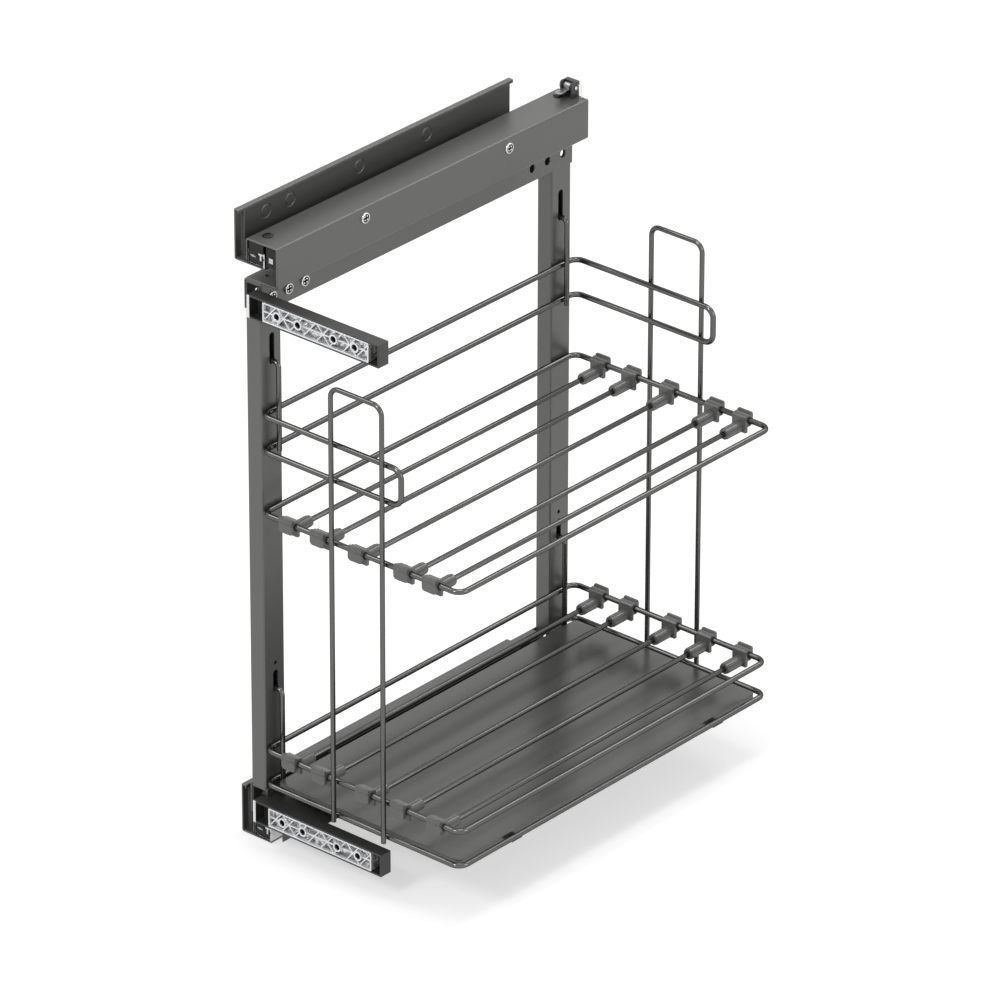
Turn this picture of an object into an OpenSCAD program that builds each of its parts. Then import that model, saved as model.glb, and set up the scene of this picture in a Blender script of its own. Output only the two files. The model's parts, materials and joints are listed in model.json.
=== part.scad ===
// Pull-out baking tray rack for a narrow kitchen base cabinet.
// Frame: +X away from the cabinet wall, -Y the way the rack pulls out, +Z up.
// The origin is the middle of the upper profile's screw row, on the wall plane.
// Modules draw with x from the wall, y from the front end of the beams and
// z from the top face of the upper beam, and place() moves them to the origin.

/* [Slides] */
// Height of the slide pair above each other, beam top to beam top
level_gap = 541; // [515:0.5:640]
// Length of the two wall profiles
profile_len = 345; // [320:1:380]
// Height of a wall profile
profile_h = 46; // [42:0.5:50]
// Width of the folded top edge of a wall profile
profile_lip = 5.2; // [3:0.1:8]
// Thickness of the wall profile sheet
profile_t = 1.5; // [1:0.1:2]
// Radius of the screw holes in a wall profile
wall_hole_r = 2.3; // [1.8:0.1:2.8]
// Distance between the two outer screw holes of a wall profile
wall_hole_out = 256; // [224:32:256]
// Distance between the two inner screw holes of a wall profile
wall_hole_in = 128; // [64:32:160]
// Width of the fixed rail
rail_w = 19; // [18.6:0.1:19.4]
// Radius of the slide balls
ball_r = 1.5; // [1.3:0.05:1.6]
// Number of balls on each side of a ball cage
ball_count = 8; // [5:1:10]

/* [Frame] */
// Length of the beams, the crossbars and the side frame
beam_len = 394; // [380:1:450]
// Gap between the wall and the beams
beam_gap = 12.7; // [12.5:0.1:13.2]
// Width of the beams
beam_w = 35; // [34.8:0.1:40]
// Height of the upper beam
beam_h = 37; // [33:0.5:42]
// Height of the web of the lower beam
low_web_h = 17; // [12:0.1:21]
// Height of the short inner flange of the beams
beam_lip_h = 19.5; // [14:0.5:20]
// Thickness of the beam and crossbar sheet
sheet_t = 1.5; // [1.2:0.1:1.8]
// Height of the crossbars
crossbar_h = 27.8; // [26:0.1:32]
// Width of an upright across the frame
upright_w = 16.5; // [15:0.1:19]
// Depth of an upright along the frame
upright_d = 25; // [22:0.5:32]
// Wall of an upright
upright_t = 1.5; // [1.2:0.1:1.8]
// Width of the hook slots
slot_w = 6.2; // [4.8:0.1:6.6]
// Length of the hook slots
slot_len = 29; // [22:0.5:32]
// Top of the upper hook slots, below the beam top
slot_top = 86.5; // [82:0.5:95]
// Height of the lower end of the lower hook slots above the tray rim
slot_low_rise = 82; // [74:0.1:95]

/* [Door brackets] */
// Length of a door bracket
bracket_len = 145.4; // [143:0.1:180]
// Height of a door bracket
bracket_h = 21; // [19:0.1:24]
// Depth of a door bracket
bracket_d = 12.6; // [11:0.1:16]
// Thickness of the bracket sheet
bracket_t = 1.5; // [1.2:0.1:2]
// Length of the cast insert
insert_len = 116.8; // [110:0.1:118]
// Distance between the two middle screw holes of the insert
hole_mid = 39.2; // [36:0.1:48]
// Distance between the two outer screw holes of the insert
hole_out = 85.7; // [82:0.1:96]
// Radius of the screw holes of the insert
insert_hole_r = 2.1; // [1.6:0.1:2.6]

/* [Basket] */
// Width of the basket frames, wire centre to wire centre
basket_w = 218; // [205:0.5:260]
// Diameter of the frame wires
wire_d = 5; // [4:0.1:5.4]
// Diameter of the upright loops and the hooks
loop_d = 4.4; // [3.8:0.1:4.6]
// Bend radius at the wire centre
bend_r = 9; // [6:0.5:12]
// Upper gallery wire below the beam top
gallery_z = 156.4; // [145:0.1:170]
// Distance between the two gallery wires
gallery_h = 33.2; // [26:0.1:38]
// Reach of the gallery arms from the back wire
gallery_arm = 154; // [120:0.5:200]
// Upper divider frame below the beam top
upper_z = 248; // [232:0.1:265]
// Lower divider frame above the tray rim
lower_rise = 32.7; // [28:0.1:40]
// Tray rim above the lower beam
rim_rise = 35; // [34:0.1:50]
// Top of the upright loops below the beam top
loop_top = 101.8; // [92:0.1:120]
// Thickness of the tray sheet
tray_t = 1; // [0.7:0.1:1.5]
// Gap between the rim wire and the tray edge
tray_gap = 5.2; // [5:0.1:7]

/* [Dividers] */
// Width of a divider clip
clip_w = 15; // [12:0.5:15.5]
// Drop of the divider rods below the frame wires
rod_drop = 6.5; // [6.4:0.1:8]
// Length of the socket of a clip
socket_len = 20; // [14:0.5:26]

/* [Hidden] */
$fn = 48;
run = 0.3;
fit = 0.1;
touch = 0.02;
eps = 1;
// Middle of the screw row of a wall profile, from its front end and below the beam top
row_mid_y = 163;
wall_row_z = 14;
// Pressed round marks on the wall profiles
mark_y = [38, 67.5, 153.5, 238.5];
mark_z = 7.5;
mark_r = 6.2;
mark_depth = 0.5;
lip_drop = 3.4;
stop_y = 7;
stop_w = 5.2;
rail_floor = -21.8;
profile_low = rail_floor - touch - profile_t;
profile_top = profile_low + profile_h;
// Slide section, all from the beam top
rail_t = 1.4;
rail_side = 0.5;
rail_x = beam_gap + sheet_t + rail_side + rail_w / 2;
rail_short = 5;
rail_len = profile_len - rail_short;
rail_top = -9;
race_a_z = -14;
race_b_z = -10;
race_depth = 0.7;
groove_r = ball_r + fit;
ball_a_x = rail_w / 2 - rail_t + race_depth - ball_r;
mid_half = ball_a_x - ball_r + race_depth;
mid_t = 1.4;
mid_floor = -19.1;
mid_top = -5;
mid_front = 9;
mid_len = 331;
ball_b_x = mid_half - mid_t + race_depth - ball_r;
stem_half = ball_b_x - ball_r + race_depth;
stem_floor = -16.5;
inner_flange_w = 16;
inner_flange_t = 1.8;
inner_front = 7;
cage_t = 0.8;
cage_floor_t = 0.6;
cage_a_y = 105;
cage_b_y = 110;
cage_len = 132;
cage_end = 6;
ball_pitch = (cage_len - 2 * cage_end) / (ball_count - 1);
// Soft close unit beside the rail
damper_x = beam_gap + beam_w - sheet_t - touch;
damper_w = 11.6;
damper_wall = 1.2;
damper_back = 2.5;
damper_top = -2.5;
damper_low = -20;
damper_front = 1;
damper_len = 299;
damper_r = 3.4;
damper_axis_z = -11;
striker_y = 249.5;
striker_t = 2.5;
striker_h = 4;
striker_len = 7.2;
damper_y = 60;
damper_body = 136;
damper_rod_r = 1.4;
head_len = 10;
foot_w = 6;
foot_t = 5;

// Screws
web_screw_y = [108, 290];
web_screw_z = -9.5;
dome_y = [14.8, beam_len - 12];
bar_screw_y = [12.5, 32.5, 52.5];
bar_screw_r = 2.4;
bar_hole_r = 2.7;
screw_head_r = 4.9;
screw_head_h = 1.9;
// Uprights and crossbars
upright_out = 0.7;
upright_x = beam_gap - upright_out;
upright_face = upright_x + upright_w;
crossbar_x = upright_x - sheet_t - touch;
crossbar_w = upright_w + 2 * sheet_t + 2 * touch;
crossbar_face = crossbar_x + crossbar_w - sheet_t;
bar_lip = 10.5;
open_slot_h = 7.6;
open_slot_w = 6.4;
crossbar_top = -beam_h - touch;
crossbar_end = -level_gap + touch;
upright_top = crossbar_top - sheet_t - touch;
upright_end = crossbar_end + sheet_t + touch;
slot_low_len = 20.2;
slot_off = 1;
slot_y = upright_d / 2 + slot_off;
mouth_cut = 5.2;
mouth_end = 1.4;
mouth_h = crossbar_h - mouth_cut;
// Door brackets
arm_t = 2.4;
arm_len = 60;
arm_h = 12;
bracket_x = upright_face - upright_t - arm_t - touch;
bracket_drop = 16.7;
bracket_mid_up = -beam_h - bracket_drop;
bracket_mid_low = -level_gap + bracket_h / 2 + touch;
screw_drop = 15.4;
screw_rise = 14.2;
bar_screw_up = -beam_h - screw_drop;
bar_screw_low = -level_gap + screw_rise;
gusset_reach = 68;
gusset_depth = 46;
gusset_depth_up = 26;
bracket_end_t = 3;
insert_inset = 16;
insert_floor = 6;
insert_mid = bracket_x + bracket_t + insert_inset + insert_len / 2;
insert_h = bracket_h - 2 * bracket_t - 2 * fit;
insert_d = bracket_d - bracket_t - 2 * fit;
// Basket, with the dividers and the loops where they stand, from the back wire
basket_over = 6;
basket_d = beam_len + basket_over;
rim_z = level_gap - rim_rise;
drawn_w = 218;
spread = basket_w / drawn_w;
upper_x = [29.1, 64, 106.3, 156.7, 187.9] * spread;
lower_x = [29.4, 63.5, 112.6, 152, 192.5] * spread;
loop_x = 80.9 * spread;
loop_w = 56.1 * spread;
wr = wire_d / 2;
lr = loop_d / 2;
wire_stand = 0.2;
back_x = upright_face + wr + wire_stand;
front_y = -wr + fit;
rear_y = front_y + basket_d;
loop_off = wr + lr + touch;
hook_x = back_x + wr + lr + touch;
hook_bend = 7;
hook_in = 9.5;
hook_end = 9;
tray_rise = 1.9;
tray_right = 3.6;
tray_end = 3.4;
tray_top = -rim_z + tray_rise;
tray_x0 = back_x + wr + tray_gap;
tray_x1 = back_x + basket_w - wr - tray_right;
tray_y0 = front_y + wr + tray_end;
tray_y1 = rear_y - wr - tray_end;
tray_lip = 6.7;
tab_y = [63, 327];
tab_len = 13;
// Divider clips
rod_r = 2.3;
clip_r = 5;
clip_low = 7.2;
clip_in_low = 11;
clip_plate = 3;
clip_roll = 1.5;
socket_r = 4.9;
socket_deep = 14;
rod_inset = clip_r + socket_len - socket_deep + fit;
// Rear latch
latch_x0 = 24.3;
latch_x1 = 37.5;
latch_in = 5.5;
latch_y = beam_len - latch_in;
latch_z = 9;
latch_pin_r = 1.6;
latch_t = 1.5;
latch_tail = 2.2;
lever_w = 7;
lever_len = 12.5;
spring_r = 0.4;
spring_gap = 0.65;
spring_up = 1.6;
spring_y = latch_y + latch_tail + spring_gap + spring_r;
spring_z = latch_z + spring_up;

// Move from the drawing frame to the origin at the upper screw row
module place() {
  translate([0, -row_mid_y, wall_row_z]) children();
}

// Extrude a section drawn in x and z along y, from y0 to y1
module along_y(y0, y1) {
  translate([0, y1, 0]) rotate([90, 0, 0]) linear_extrude(y1 - y0) children();
}

// Extrude a section drawn in y and z along x, from x0 to x1
module along_x(x0, x1) {
  translate([x0, 0, 0]) rotate([90, 0, 90]) linear_extrude(x1 - x0) children();
}

// Round bar along x, y or z
module bar_x(x0, x1, y, z, r) {
  translate([x0, y, z]) rotate([0, 90, 0]) cylinder(h = x1 - x0, r = r);
}
module bar_y(x, y0, y1, z, r) {
  translate([x, y1, z]) rotate([90, 0, 0]) cylinder(h = y1 - y0, r = r);
}
module bar_z(x, y, z0, z1, r) {
  translate([x, y, z0]) cylinder(h = z1 - z0, r = r);
}

// Rectangle with four round corners, from corner to corner
module round_box(x0, z0, x1, z1, r) {
  translate([x0 + r, z0]) square([x1 - x0 - 2 * r, z1 - z0]);
  translate([x0, z0 + r]) square([x1 - x0, z1 - z0 - 2 * r]);
  for (x = [x0 + r, x1 - r], z = [z0 + r, z1 - r]) translate([x, z]) circle(r);
}
module box2(x0, z0, x1, z1) {
  translate([x0, z0]) square([x1 - x0, z1 - z0]);
}
module slot2(x, z0, z1, w) {
  box2(x - w / 2, z0 + w / 2, x + w / 2, z1 - w / 2);
  for (z = [z0 + w / 2, z1 - w / 2]) translate([x, z]) circle(w / 2);
}

// A wire bent square at every inner point of its path, r at the wire and rb at the bends
function unit(v) = v / norm(v);
module straight(p, q, r) {
  d = unit(q - p);
  u = abs(d[2]) > 0.5 ? [1, 0, 0] : [0, 0, 1];
  v = cross(d, u);
  multmatrix([[u[0], v[0], d[0], p[0]], [u[1], v[1], d[1], p[1]], [u[2], v[2], d[2], p[2]]])
    cylinder(h = norm(q - p), r = r);
}
module bend(corner, d1, d2, r, rb) {
  c = corner - rb * d1 + rb * d2;
  n = cross(d1, d2);
  multmatrix([[-d2[0], d1[0], n[0], c[0]], [-d2[1], d1[1], n[1], c[1]], [-d2[2], d1[2], n[2], c[2]]])
    rotate_extrude(angle = 90) translate([rb, 0]) circle(r);
}
module wire(path, r, rb) {
  last = len(path) - 1;
  for (i = [0 : last - 1]) {
    d = unit(path[i + 1] - path[i]);
    straight(path[i] + (i > 0 ? rb : 0) * d, path[i + 1] - (i < last - 1 ? rb : 0) * d, r);
  }
  for (i = [1 : 1 : last - 1])
    bend(path[i], unit(path[i] - path[i - 1]), unit(path[i + 1] - path[i]), r, rb);
}
module wire_ring(path, r, rb) {
  n = len(path);
  for (i = [0 : n - 1]) {
    a = path[i];
    b = path[(i + 1) % n];
    c = path[(i + 2) % n];
    straight(a + rb * unit(b - a), b - rb * unit(b - a), r);
    bend(b, unit(b - a), unit(c - b), r, rb);
  }
}

// Wall profiles, screwed to the cabinet side
module wall_profile(level) {
  color("dimgray") place() translate([0, 0, -level]) difference() {
    union() {
      along_y(0, profile_len) difference() {
        union() {
          box2(0, profile_low, profile_t, profile_top);
          box2(0, profile_top - profile_t, profile_lip, profile_top);
          box2(profile_lip - 1, profile_top - lip_drop, profile_lip, profile_top);
          box2(0, profile_low, rail_x + rail_w / 2, profile_low + profile_t);
        }
        difference() {
          box2(-eps, profile_low - eps, profile_t, profile_low + profile_t);
          translate([profile_t, profile_low + profile_t]) circle(profile_t);
        }
        difference() {
          box2(profile_lip - 1, profile_top - 1, profile_lip + eps, profile_top + eps);
          translate([profile_lip - 1, profile_top - 1]) circle(1);
        }
      }
      translate([0, stop_y, profile_low + profile_t]) cube([stop_w, profile_t, profile_h - 2 * profile_t]);
    }
    for (d = [wall_hole_out, wall_hole_in], s = [-1, 1])
      bar_x(-eps, profile_t + eps, row_mid_y + s * d / 2, -wall_row_z, wall_hole_r);
    for (y = mark_y) translate([profile_t - mark_depth, y, mark_z]) rotate([0, 90, 0]) difference() {
      cylinder(h = mark_depth + eps, r = mark_r);
      translate([0, 0, -eps]) cylinder(h = mark_depth + 3 * eps, r = mark_r - 0.9);
    }
  }
}

// Fixed rail: an open channel with a ball race on the inside of each wall
module outer_rail(level, striker) {
  color("silver") place() translate([0, 0, -level]) {
    difference() {
      along_y(0, rail_len) translate([rail_x, 0]) difference() {
        box2(-rail_w / 2, rail_floor, rail_w / 2, rail_top);
        box2(-rail_w / 2 + rail_t, rail_floor + rail_t, rail_w / 2 - rail_t, rail_top + eps);
        for (s = [-1, 1]) translate([s * ball_a_x, race_a_z]) circle(groove_r);
      }
    }
    if (striker) translate([rail_x + rail_w / 2 - fit, striker_y, damper_axis_z - striker_h / 2])
      cube([striker_len, striker_t, striker_h]);
  }
}

// Middle rail: a smaller channel with races on both sides of its walls
module mid_rail(level) {
  color("silver") place() translate([0, 0, -level])
    along_y(mid_front, mid_front + mid_len) translate([rail_x, 0]) difference() {
      box2(-mid_half, mid_floor, mid_half, mid_top);
      box2(-mid_half + mid_t, mid_floor + 1.2, mid_half - mid_t, mid_top + eps);
      for (s = [-1, 1]) {
        translate([s * ball_a_x, race_a_z]) circle(groove_r);
        translate([s * ball_b_x, race_b_z]) circle(groove_r);
      }
    }
}

// Inner rail: a T bar under the beam, with a race on each side of its stem
module inner_rail(level) {
  color("silver") place() translate([0, 0, -level]) difference() {
    along_y(inner_front, beam_len - 2) translate([rail_x, 0]) difference() {
      union() {
        box2(-inner_flange_w / 2, -sheet_t - inner_flange_t - touch, inner_flange_w / 2, -sheet_t - touch);
        box2(-stem_half, stem_floor, stem_half, -sheet_t - touch);
      }
      for (s = [-1, 1]) translate([s * ball_b_x, race_b_z]) circle(groove_r);
    }
    for (y = dome_y) bar_z(rail_x, y, -9, 0, 2);
  }
}

// Ball cage: a thin channel strip with a round window for each ball, and the balls
module ball_cage(level, y0, ball_x, race_z, low, high) {
  side = ball_x - cage_t / 2;
  color("darkslategray") place() translate([0, 0, -level]) {
    difference() {
      along_y(y0, y0 + cage_len) translate([rail_x, 0]) difference() {
        box2(-side - cage_t, low, side + cage_t, high);
        box2(-side, low + cage_floor_t, side, high + eps);
      }
      for (i = [0 : ball_count - 1])
        bar_x(rail_x - rail_w, rail_x + rail_w, y0 + cage_end + i * ball_pitch, race_z, ball_r + fit / 2);
    }
    for (i = [0 : ball_count - 1], s = [-1, 1])
      translate([rail_x + s * ball_x, y0 + cage_end + i * ball_pitch, race_z]) sphere(ball_r);
  }
}
module ball_cage_a(level) {
  ball_cage(level, cage_a_y, ball_a_x, race_a_z, mid_floor - run - cage_floor_t, -11.5);
}
module ball_cage_b(level) {
  ball_cage(level, cage_b_y, ball_b_x, race_b_z, mid_floor + 1.2 + run, -7.5);
}

// Beams: folded sheet, screwed on the inner rails
module beam_upper() {
  x1 = beam_gap + beam_w;
  color("dimgray") place() difference() {
    along_y(0, beam_len) difference() {
      round_box(beam_gap, -beam_h, x1, 0, 2);
      round_box(beam_gap + sheet_t, -beam_h + sheet_t, x1 - sheet_t, -sheet_t, 0.5);
      box2(beam_gap - eps, -beam_h + sheet_t, beam_gap + sheet_t + 0.6, -beam_lip_h);
    }
    for (y = dome_y) bar_z(rail_x, y, -sheet_t - eps, eps, 2.2);
    for (y = web_screw_y) bar_x(x1 - sheet_t - eps, x1 + eps, y, web_screw_z, 2.2);
    for (y = [13.5, beam_len - 13.5]) bar_z(rail_x + 0.7, y, -beam_h - eps, -beam_h + sheet_t + eps, 2);
  }
}
module beam_lower() {
  x1 = beam_gap + beam_w;
  color("dimgray") place() translate([0, 0, -level_gap]) difference() {
    along_y(0, beam_len) difference() {
      round_box(beam_gap, -beam_h, x1, 0, 2);
      round_box(beam_gap + sheet_t, -beam_h - beam_h, x1 - sheet_t, -sheet_t, 0.5);
      box2(beam_gap - eps, -beam_h - eps, beam_gap + sheet_t + eps, -beam_lip_h);
      box2(beam_gap - eps, -beam_h - eps, x1 + eps, -max(low_web_h, beam_lip_h));
      box2(x1 - sheet_t - eps, -beam_h - eps, x1 + eps, -low_web_h);
    }
    for (y = dome_y) bar_z(rail_x, y, -sheet_t - eps, eps, 2.2);
  }
}

module open_slot(y, z) {
  slot2(y, z - open_slot_h / 2, z + open_slot_h / 2, open_slot_w);
}

// Crossbars: open channels that hold the uprights and the arms of the door brackets
module crossbar(screw_z) {
  along_y(arm_len + 4, beam_len - upright_d - 3)
    box2(crossbar_x + 0.5, -crossbar_h, crossbar_x + bar_lip, -crossbar_h + sheet_t);
  difference() {
    along_y(0, beam_len) difference() {
      union() {
        round_box(crossbar_x, -crossbar_h, crossbar_x + crossbar_w, 0, 1.6);
        box2(crossbar_x, -crossbar_h, crossbar_x + crossbar_w, -crossbar_h / 2);
      }
      box2(crossbar_x + sheet_t, -crossbar_h - eps, crossbar_x + crossbar_w - sheet_t, -sheet_t);
    }
    for (y = bar_screw_y) bar_x(y < bar_screw_y[0] + 1 ? crossbar_x - eps : crossbar_face - eps,
      crossbar_x + crossbar_w + eps, y, screw_z, bar_hole_r);
    for (v = bar_screw_y) along_x(v < bar_screw_y[0] + 1 ? crossbar_x - eps : crossbar_face - eps,
      crossbar_x + crossbar_w + eps) open_slot(beam_len - v, screw_z);
  }
}
module crossbar_upper() {
  color("dimgray") place() translate([0, 0, crossbar_top]) crossbar(bar_screw_up - crossbar_top);
}
module crossbar_lower() {
  color("dimgray") place() translate([0, 0, crossbar_end]) difference() {
    mirror([0, 0, 1]) crossbar(crossbar_end - bar_screw_low);
    for (y = dome_y) bar_z(rail_x, y, -eps, sheet_t + eps, 5.4);
  }
}

// Uprights: rectangular tube with hook slots, and a mouth for the bracket arm at each end
module upright(open) {
  x0 = upright_x;
  x1 = upright_face;
  difference() {
    translate([0, 0, upright_end]) linear_extrude(upright_top - upright_end) difference() {
      round_box(x0, 0, x1, upright_d, 1.5);
      round_box(x0 + upright_t, upright_t, x1 - upright_t, upright_d - upright_t, 0.5);
    }
    along_x(x1 - upright_t - eps, x1 + eps) slot2(slot_y, -slot_top - slot_len, -slot_top, slot_w);
    along_x(x1 - upright_t - eps, x1 + eps)
      slot2(slot_y, -rim_z + slot_low_rise, -rim_z + slot_low_rise + slot_low_len, slot_w);
    bar_x(x1 - upright_t - eps, x1 + eps, slot_y, -rim_z + slot_low_rise + slot_low_len + 7, 1.8);
    for (z = [upright_top - mouth_end - mouth_h, upright_end + mouth_end])
      translate([x0 + upright_t, -eps, z]) cube([upright_w - 2 * upright_t, upright_d + 2 * eps, mouth_h]);
    for (z = [bar_screw_up, bar_screw_low])
      if (open) along_x(x0 - eps, x1 + eps) open_slot(bar_screw_y[0], z);
      else bar_x(x0 - eps, x1 + eps, bar_screw_y[0], z, bar_hole_r);
  }
}
module upright_front() {
  color("dimgray") place() upright(false);
}
module upright_rear() {
  color("dimgray") place() translate([0, beam_len, 0]) mirror([0, 1, 0]) upright(true);
}

// Plastic end caps in the mouth of each slide
module front_caps() {
  half = rail_w / 2 - rail_t - run;
  color("black") place() for (level = [0, level_gap]) translate([rail_x, 0, -level]) {
    along_y(0.4, inner_front - 0.4) {
      round_box(-half, rail_floor + rail_t + run, half, -7.5, 1);
      box2(-half, -8.5, half, -sheet_t - touch);
    }
    translate([-2.4, 1.6, -12.6]) scale(1) rotate([0, 90, 0]) translate([0, 0, -3.4])
      cylinder(h = 6.8, r = 2);
  }
}

// Domed screws through the beams into the inner rails
module dome_screws() {
  color("black") place() for (level = [0, level_gap], y = dome_y) translate([rail_x, y, -level]) {
    translate([0, 0, -7]) cylinder(h = 7.2, r = 1.95);
    difference() {
      translate([0, 0, touch]) rotate_extrude() intersection() {
        translate([0, -5]) circle(7.2);
        square([4.9, 5]);
      }
      translate([0, 0, 1.2]) cylinder(h = 3, r = 1.6, $fn = 6);
    }
  }
}

// Bright pan head screws: two in the web of the beam, three through each crossbar
module pan_screw(x, y, z, shank, r) {
  translate([x, y, z]) rotate([0, 90, 0]) {
    difference() {
      translate([0, 0, touch]) union() {
        cylinder(h = screw_head_h - 0.7, r = screw_head_r);
        translate([0, 0, screw_head_h - 0.7]) cylinder(h = 0.7, r1 = screw_head_r, r2 = screw_head_r - 1);
      }
      translate([0, 0, 0.7]) for (a = [0, 90]) rotate(a) translate([-2.2, -0.5, 0]) cube([4.4, 1, 3]);
    }
    translate([0, 0, -shank]) cylinder(h = shank + 0.1, r = r);
  }
}
module pan_screws() {
  color("gainsboro") place() {
    for (y = web_screw_y) pan_screw(beam_gap + beam_w, y, web_screw_z, 3.4, 1.9);
    for (y = bar_screw_y, z = [bar_screw_up, bar_screw_low])
      pan_screw(crossbar_x + crossbar_w, y, z, crossbar_x + crossbar_w - bracket_x - 0.1, bar_screw_r);
  }
}

// Door bracket: a shallow tray open to the front, its arm and its gusset
module door_bracket(mid, gusset_z, gusset_d, screw_z) {
  h = bracket_h / 2;
  holes = [-hole_out / 2, -hole_mid / 2, hole_mid / 2, hole_out / 2];
  pad = upright_face - bracket_x - arm_t;
  color([0.13, 0.13, 0.13]) place() difference() {
    union() {
      translate([0, 0, mid]) difference() {
        translate([bracket_x, -bracket_d, -h]) cube([bracket_len, bracket_d - touch, bracket_h]);
        translate([bracket_x + bracket_end_t, -bracket_d - eps, -h + bracket_t]) cube(
          [bracket_len - bracket_end_t - bracket_t, bracket_d - bracket_t + eps, bracket_h - 2 * bracket_t]);
        for (x = holes) bar_y(insert_mid + x, -bracket_t - 2 * eps, eps, 0, insert_hole_r + 0.7);
        translate([insert_mid + insert_len / 2 + 2.6, -2 * bracket_t, -4.5]) cube([1.4, 3 * bracket_t, 9]);
      }
      translate([bracket_x, -bracket_t, screw_z - arm_h / 2]) cube([arm_t, arm_len + bracket_t, arm_h]);
      translate([bracket_x + arm_t - eps, upright_d + run, screw_z - arm_h / 2])
        cube([eps + pad, arm_len - upright_d - run, arm_h]);
      gusset(gusset_z, gusset_d);
    }
    for (y = bar_screw_y) bar_x(bracket_x - eps, upright_face + eps, y, screw_z, bar_screw_r + touch);
  }
}
module gusset(z, depth) {
  g0 = crossbar_x + crossbar_w + 0.3;
  g1 = g0 + gusset_reach;
  translate([0, 0, z]) linear_extrude(bracket_t)
    polygon([[g0, -bracket_t], [g1, -bracket_t], [g1, depth / 3], [g1 - 30, depth], [g0, depth]]);
}
module door_bracket_upper() {
  door_bracket(bracket_mid_up, bracket_mid_up - bracket_h / 2, gusset_depth_up, bar_screw_up);
}
module door_bracket_lower() {
  door_bracket(bracket_mid_low, bracket_mid_low + bracket_h / 2 - bracket_t, gusset_depth, bar_screw_low);
}

// Cast insert: bosses for the door screws, joined by a frame and crossed ribs
module door_insert(mid) {
  l = insert_len / 2;
  h = insert_h / 2;
  holes = [-hole_out / 2, -hole_mid / 2, hole_mid / 2, hole_out / 2];
  bay = insert_len / 8;
  color("silver") place() translate([insert_mid, -bracket_t - 0.1, mid]) difference() {
    union() {
      along_y(-insert_floor, 0) round_box(-l, -h, l, h, 1);
      along_y(-insert_d, 0) {
        difference() {
          round_box(-l, -h, l, h, 1);
          round_box(-l + 1.5, -h + 1.3, l - 1.5, h - 1.3, 0.6);
        }
        for (x = holes) translate([x, 0]) circle(4.4);
      }
      along_y(-insert_d + 1.4, 0) {
        box2(-l + 1, -0.6, l - 1, 0.6);
        for (i = [0 : 7]) rib([-l + i * bay, -h + 0.5], [-l + (i + 1) * bay, h - 0.5]);
        for (i = [1, 4, 6]) rib([-l + i * bay, h - 0.5], [-l + (i + 1) * bay, -h + 0.5]);
      }
    }
    for (x = holes) bar_y(x, -insert_d - eps, eps, 0, insert_hole_r);
    for (x = holes) translate([x, -insert_d - 0.01, 0]) rotate([-90, 0, 0])
      cylinder(h = 1, r1 = insert_hole_r + 1, r2 = insert_hole_r);
  }
}
module rib(a, b) {
  d = unit(b - a);
  n = [-d[1], d[0]] * 0.55;
  polygon([a + n, a - n, b - n, b + n]);
}
module door_insert_upper() {
  door_insert(bracket_mid_up);
}
module door_insert_lower() {
  door_insert(bracket_mid_low);
}

// Soft close unit: a plastic housing in the beam, with its damper
module soft_close_housing() {
  x0 = damper_x - damper_w;
  y1 = damper_front + damper_len;
  color([0.08, 0.08, 0.08]) place() difference() {
    translate([x0, damper_front, damper_low]) cube([damper_w, damper_len, damper_top - damper_low]);
    translate([x0 + damper_wall, damper_front + 2, damper_low + damper_wall])
      cube([damper_w - damper_wall - damper_back, damper_len, damper_top - damper_low - 2 * damper_wall]);
    translate([x0 - eps, striker_y - 3, damper_axis_z - 4]) cube([damper_wall + 2 * eps, y1, 8]);
    translate([x0 + 5.2, 0, damper_axis_z - 1.2]) cube([2.4, damper_front + 3, 2.4]);
    for (y = web_screw_y) bar_x(damper_x - 2.2, damper_x + eps, y, web_screw_z, 1.92);
  }
}
module soft_close_damper() {
  x = damper_x - damper_w + damper_wall + damper_r + 0.4;
  color("silver") place() {
    bar_y(x, damper_y, damper_y + damper_body, damper_axis_z, damper_r);
    bar_y(x, damper_y + damper_body - eps, striker_y - head_len, damper_axis_z, damper_rod_r);
    translate([x - foot_w / 2, striker_y - head_len - eps, damper_axis_z - foot_w / 2])
      cube([foot_w, head_len + eps - run, foot_w]);
    for (y = [damper_y - foot_t + eps, damper_y + damper_body * 0.66])
      translate([x - foot_w / 2, y, damper_low + damper_wall + touch])
        cube([foot_w, foot_t, damper_axis_z - damper_low - damper_wall + damper_rod_r]);
  }
}

// Basket: gallery, two divider frames, tray rim, loops and hooks of bent wire
module gallery() {
  xa = back_x;
  xb = back_x + gallery_arm;
  za = -gallery_z;
  zb = -gallery_z - gallery_h;
  color("dimgray") place() wire_ring([[xb, front_y, za], [xa, front_y, za], [xa, rear_y, za],
    [xb, rear_y, za], [xb, rear_y, zb], [xa, rear_y, zb], [xa, front_y, zb], [xb, front_y, zb]], wr, bend_r);
}
module frame_ring(z) {
  x1 = back_x + basket_w;
  color("dimgray") place()
    wire_ring([[back_x, front_y, z], [x1, front_y, z], [x1, rear_y, z], [back_x, rear_y, z]], wr, bend_r);
}
module divider_frame_upper() {
  frame_ring(-upper_z);
}
module divider_frame_lower() {
  frame_ring(-rim_z + lower_rise);
}
module tray_rim() {
  frame_ring(-rim_z);
}
module loop(y) {
  x = back_x + loop_x;
  low = -rim_z - wr - 2.4;
  color("dimgray") place()
    wire([[x, y, low], [x, y, -loop_top], [x + loop_w, y, -loop_top], [x + loop_w, y, low]], lr, bend_r);
}
module loop_front() {
  loop(front_y - loop_off);
}
module loop_rear() {
  loop(rear_y + loop_off);
}
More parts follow.
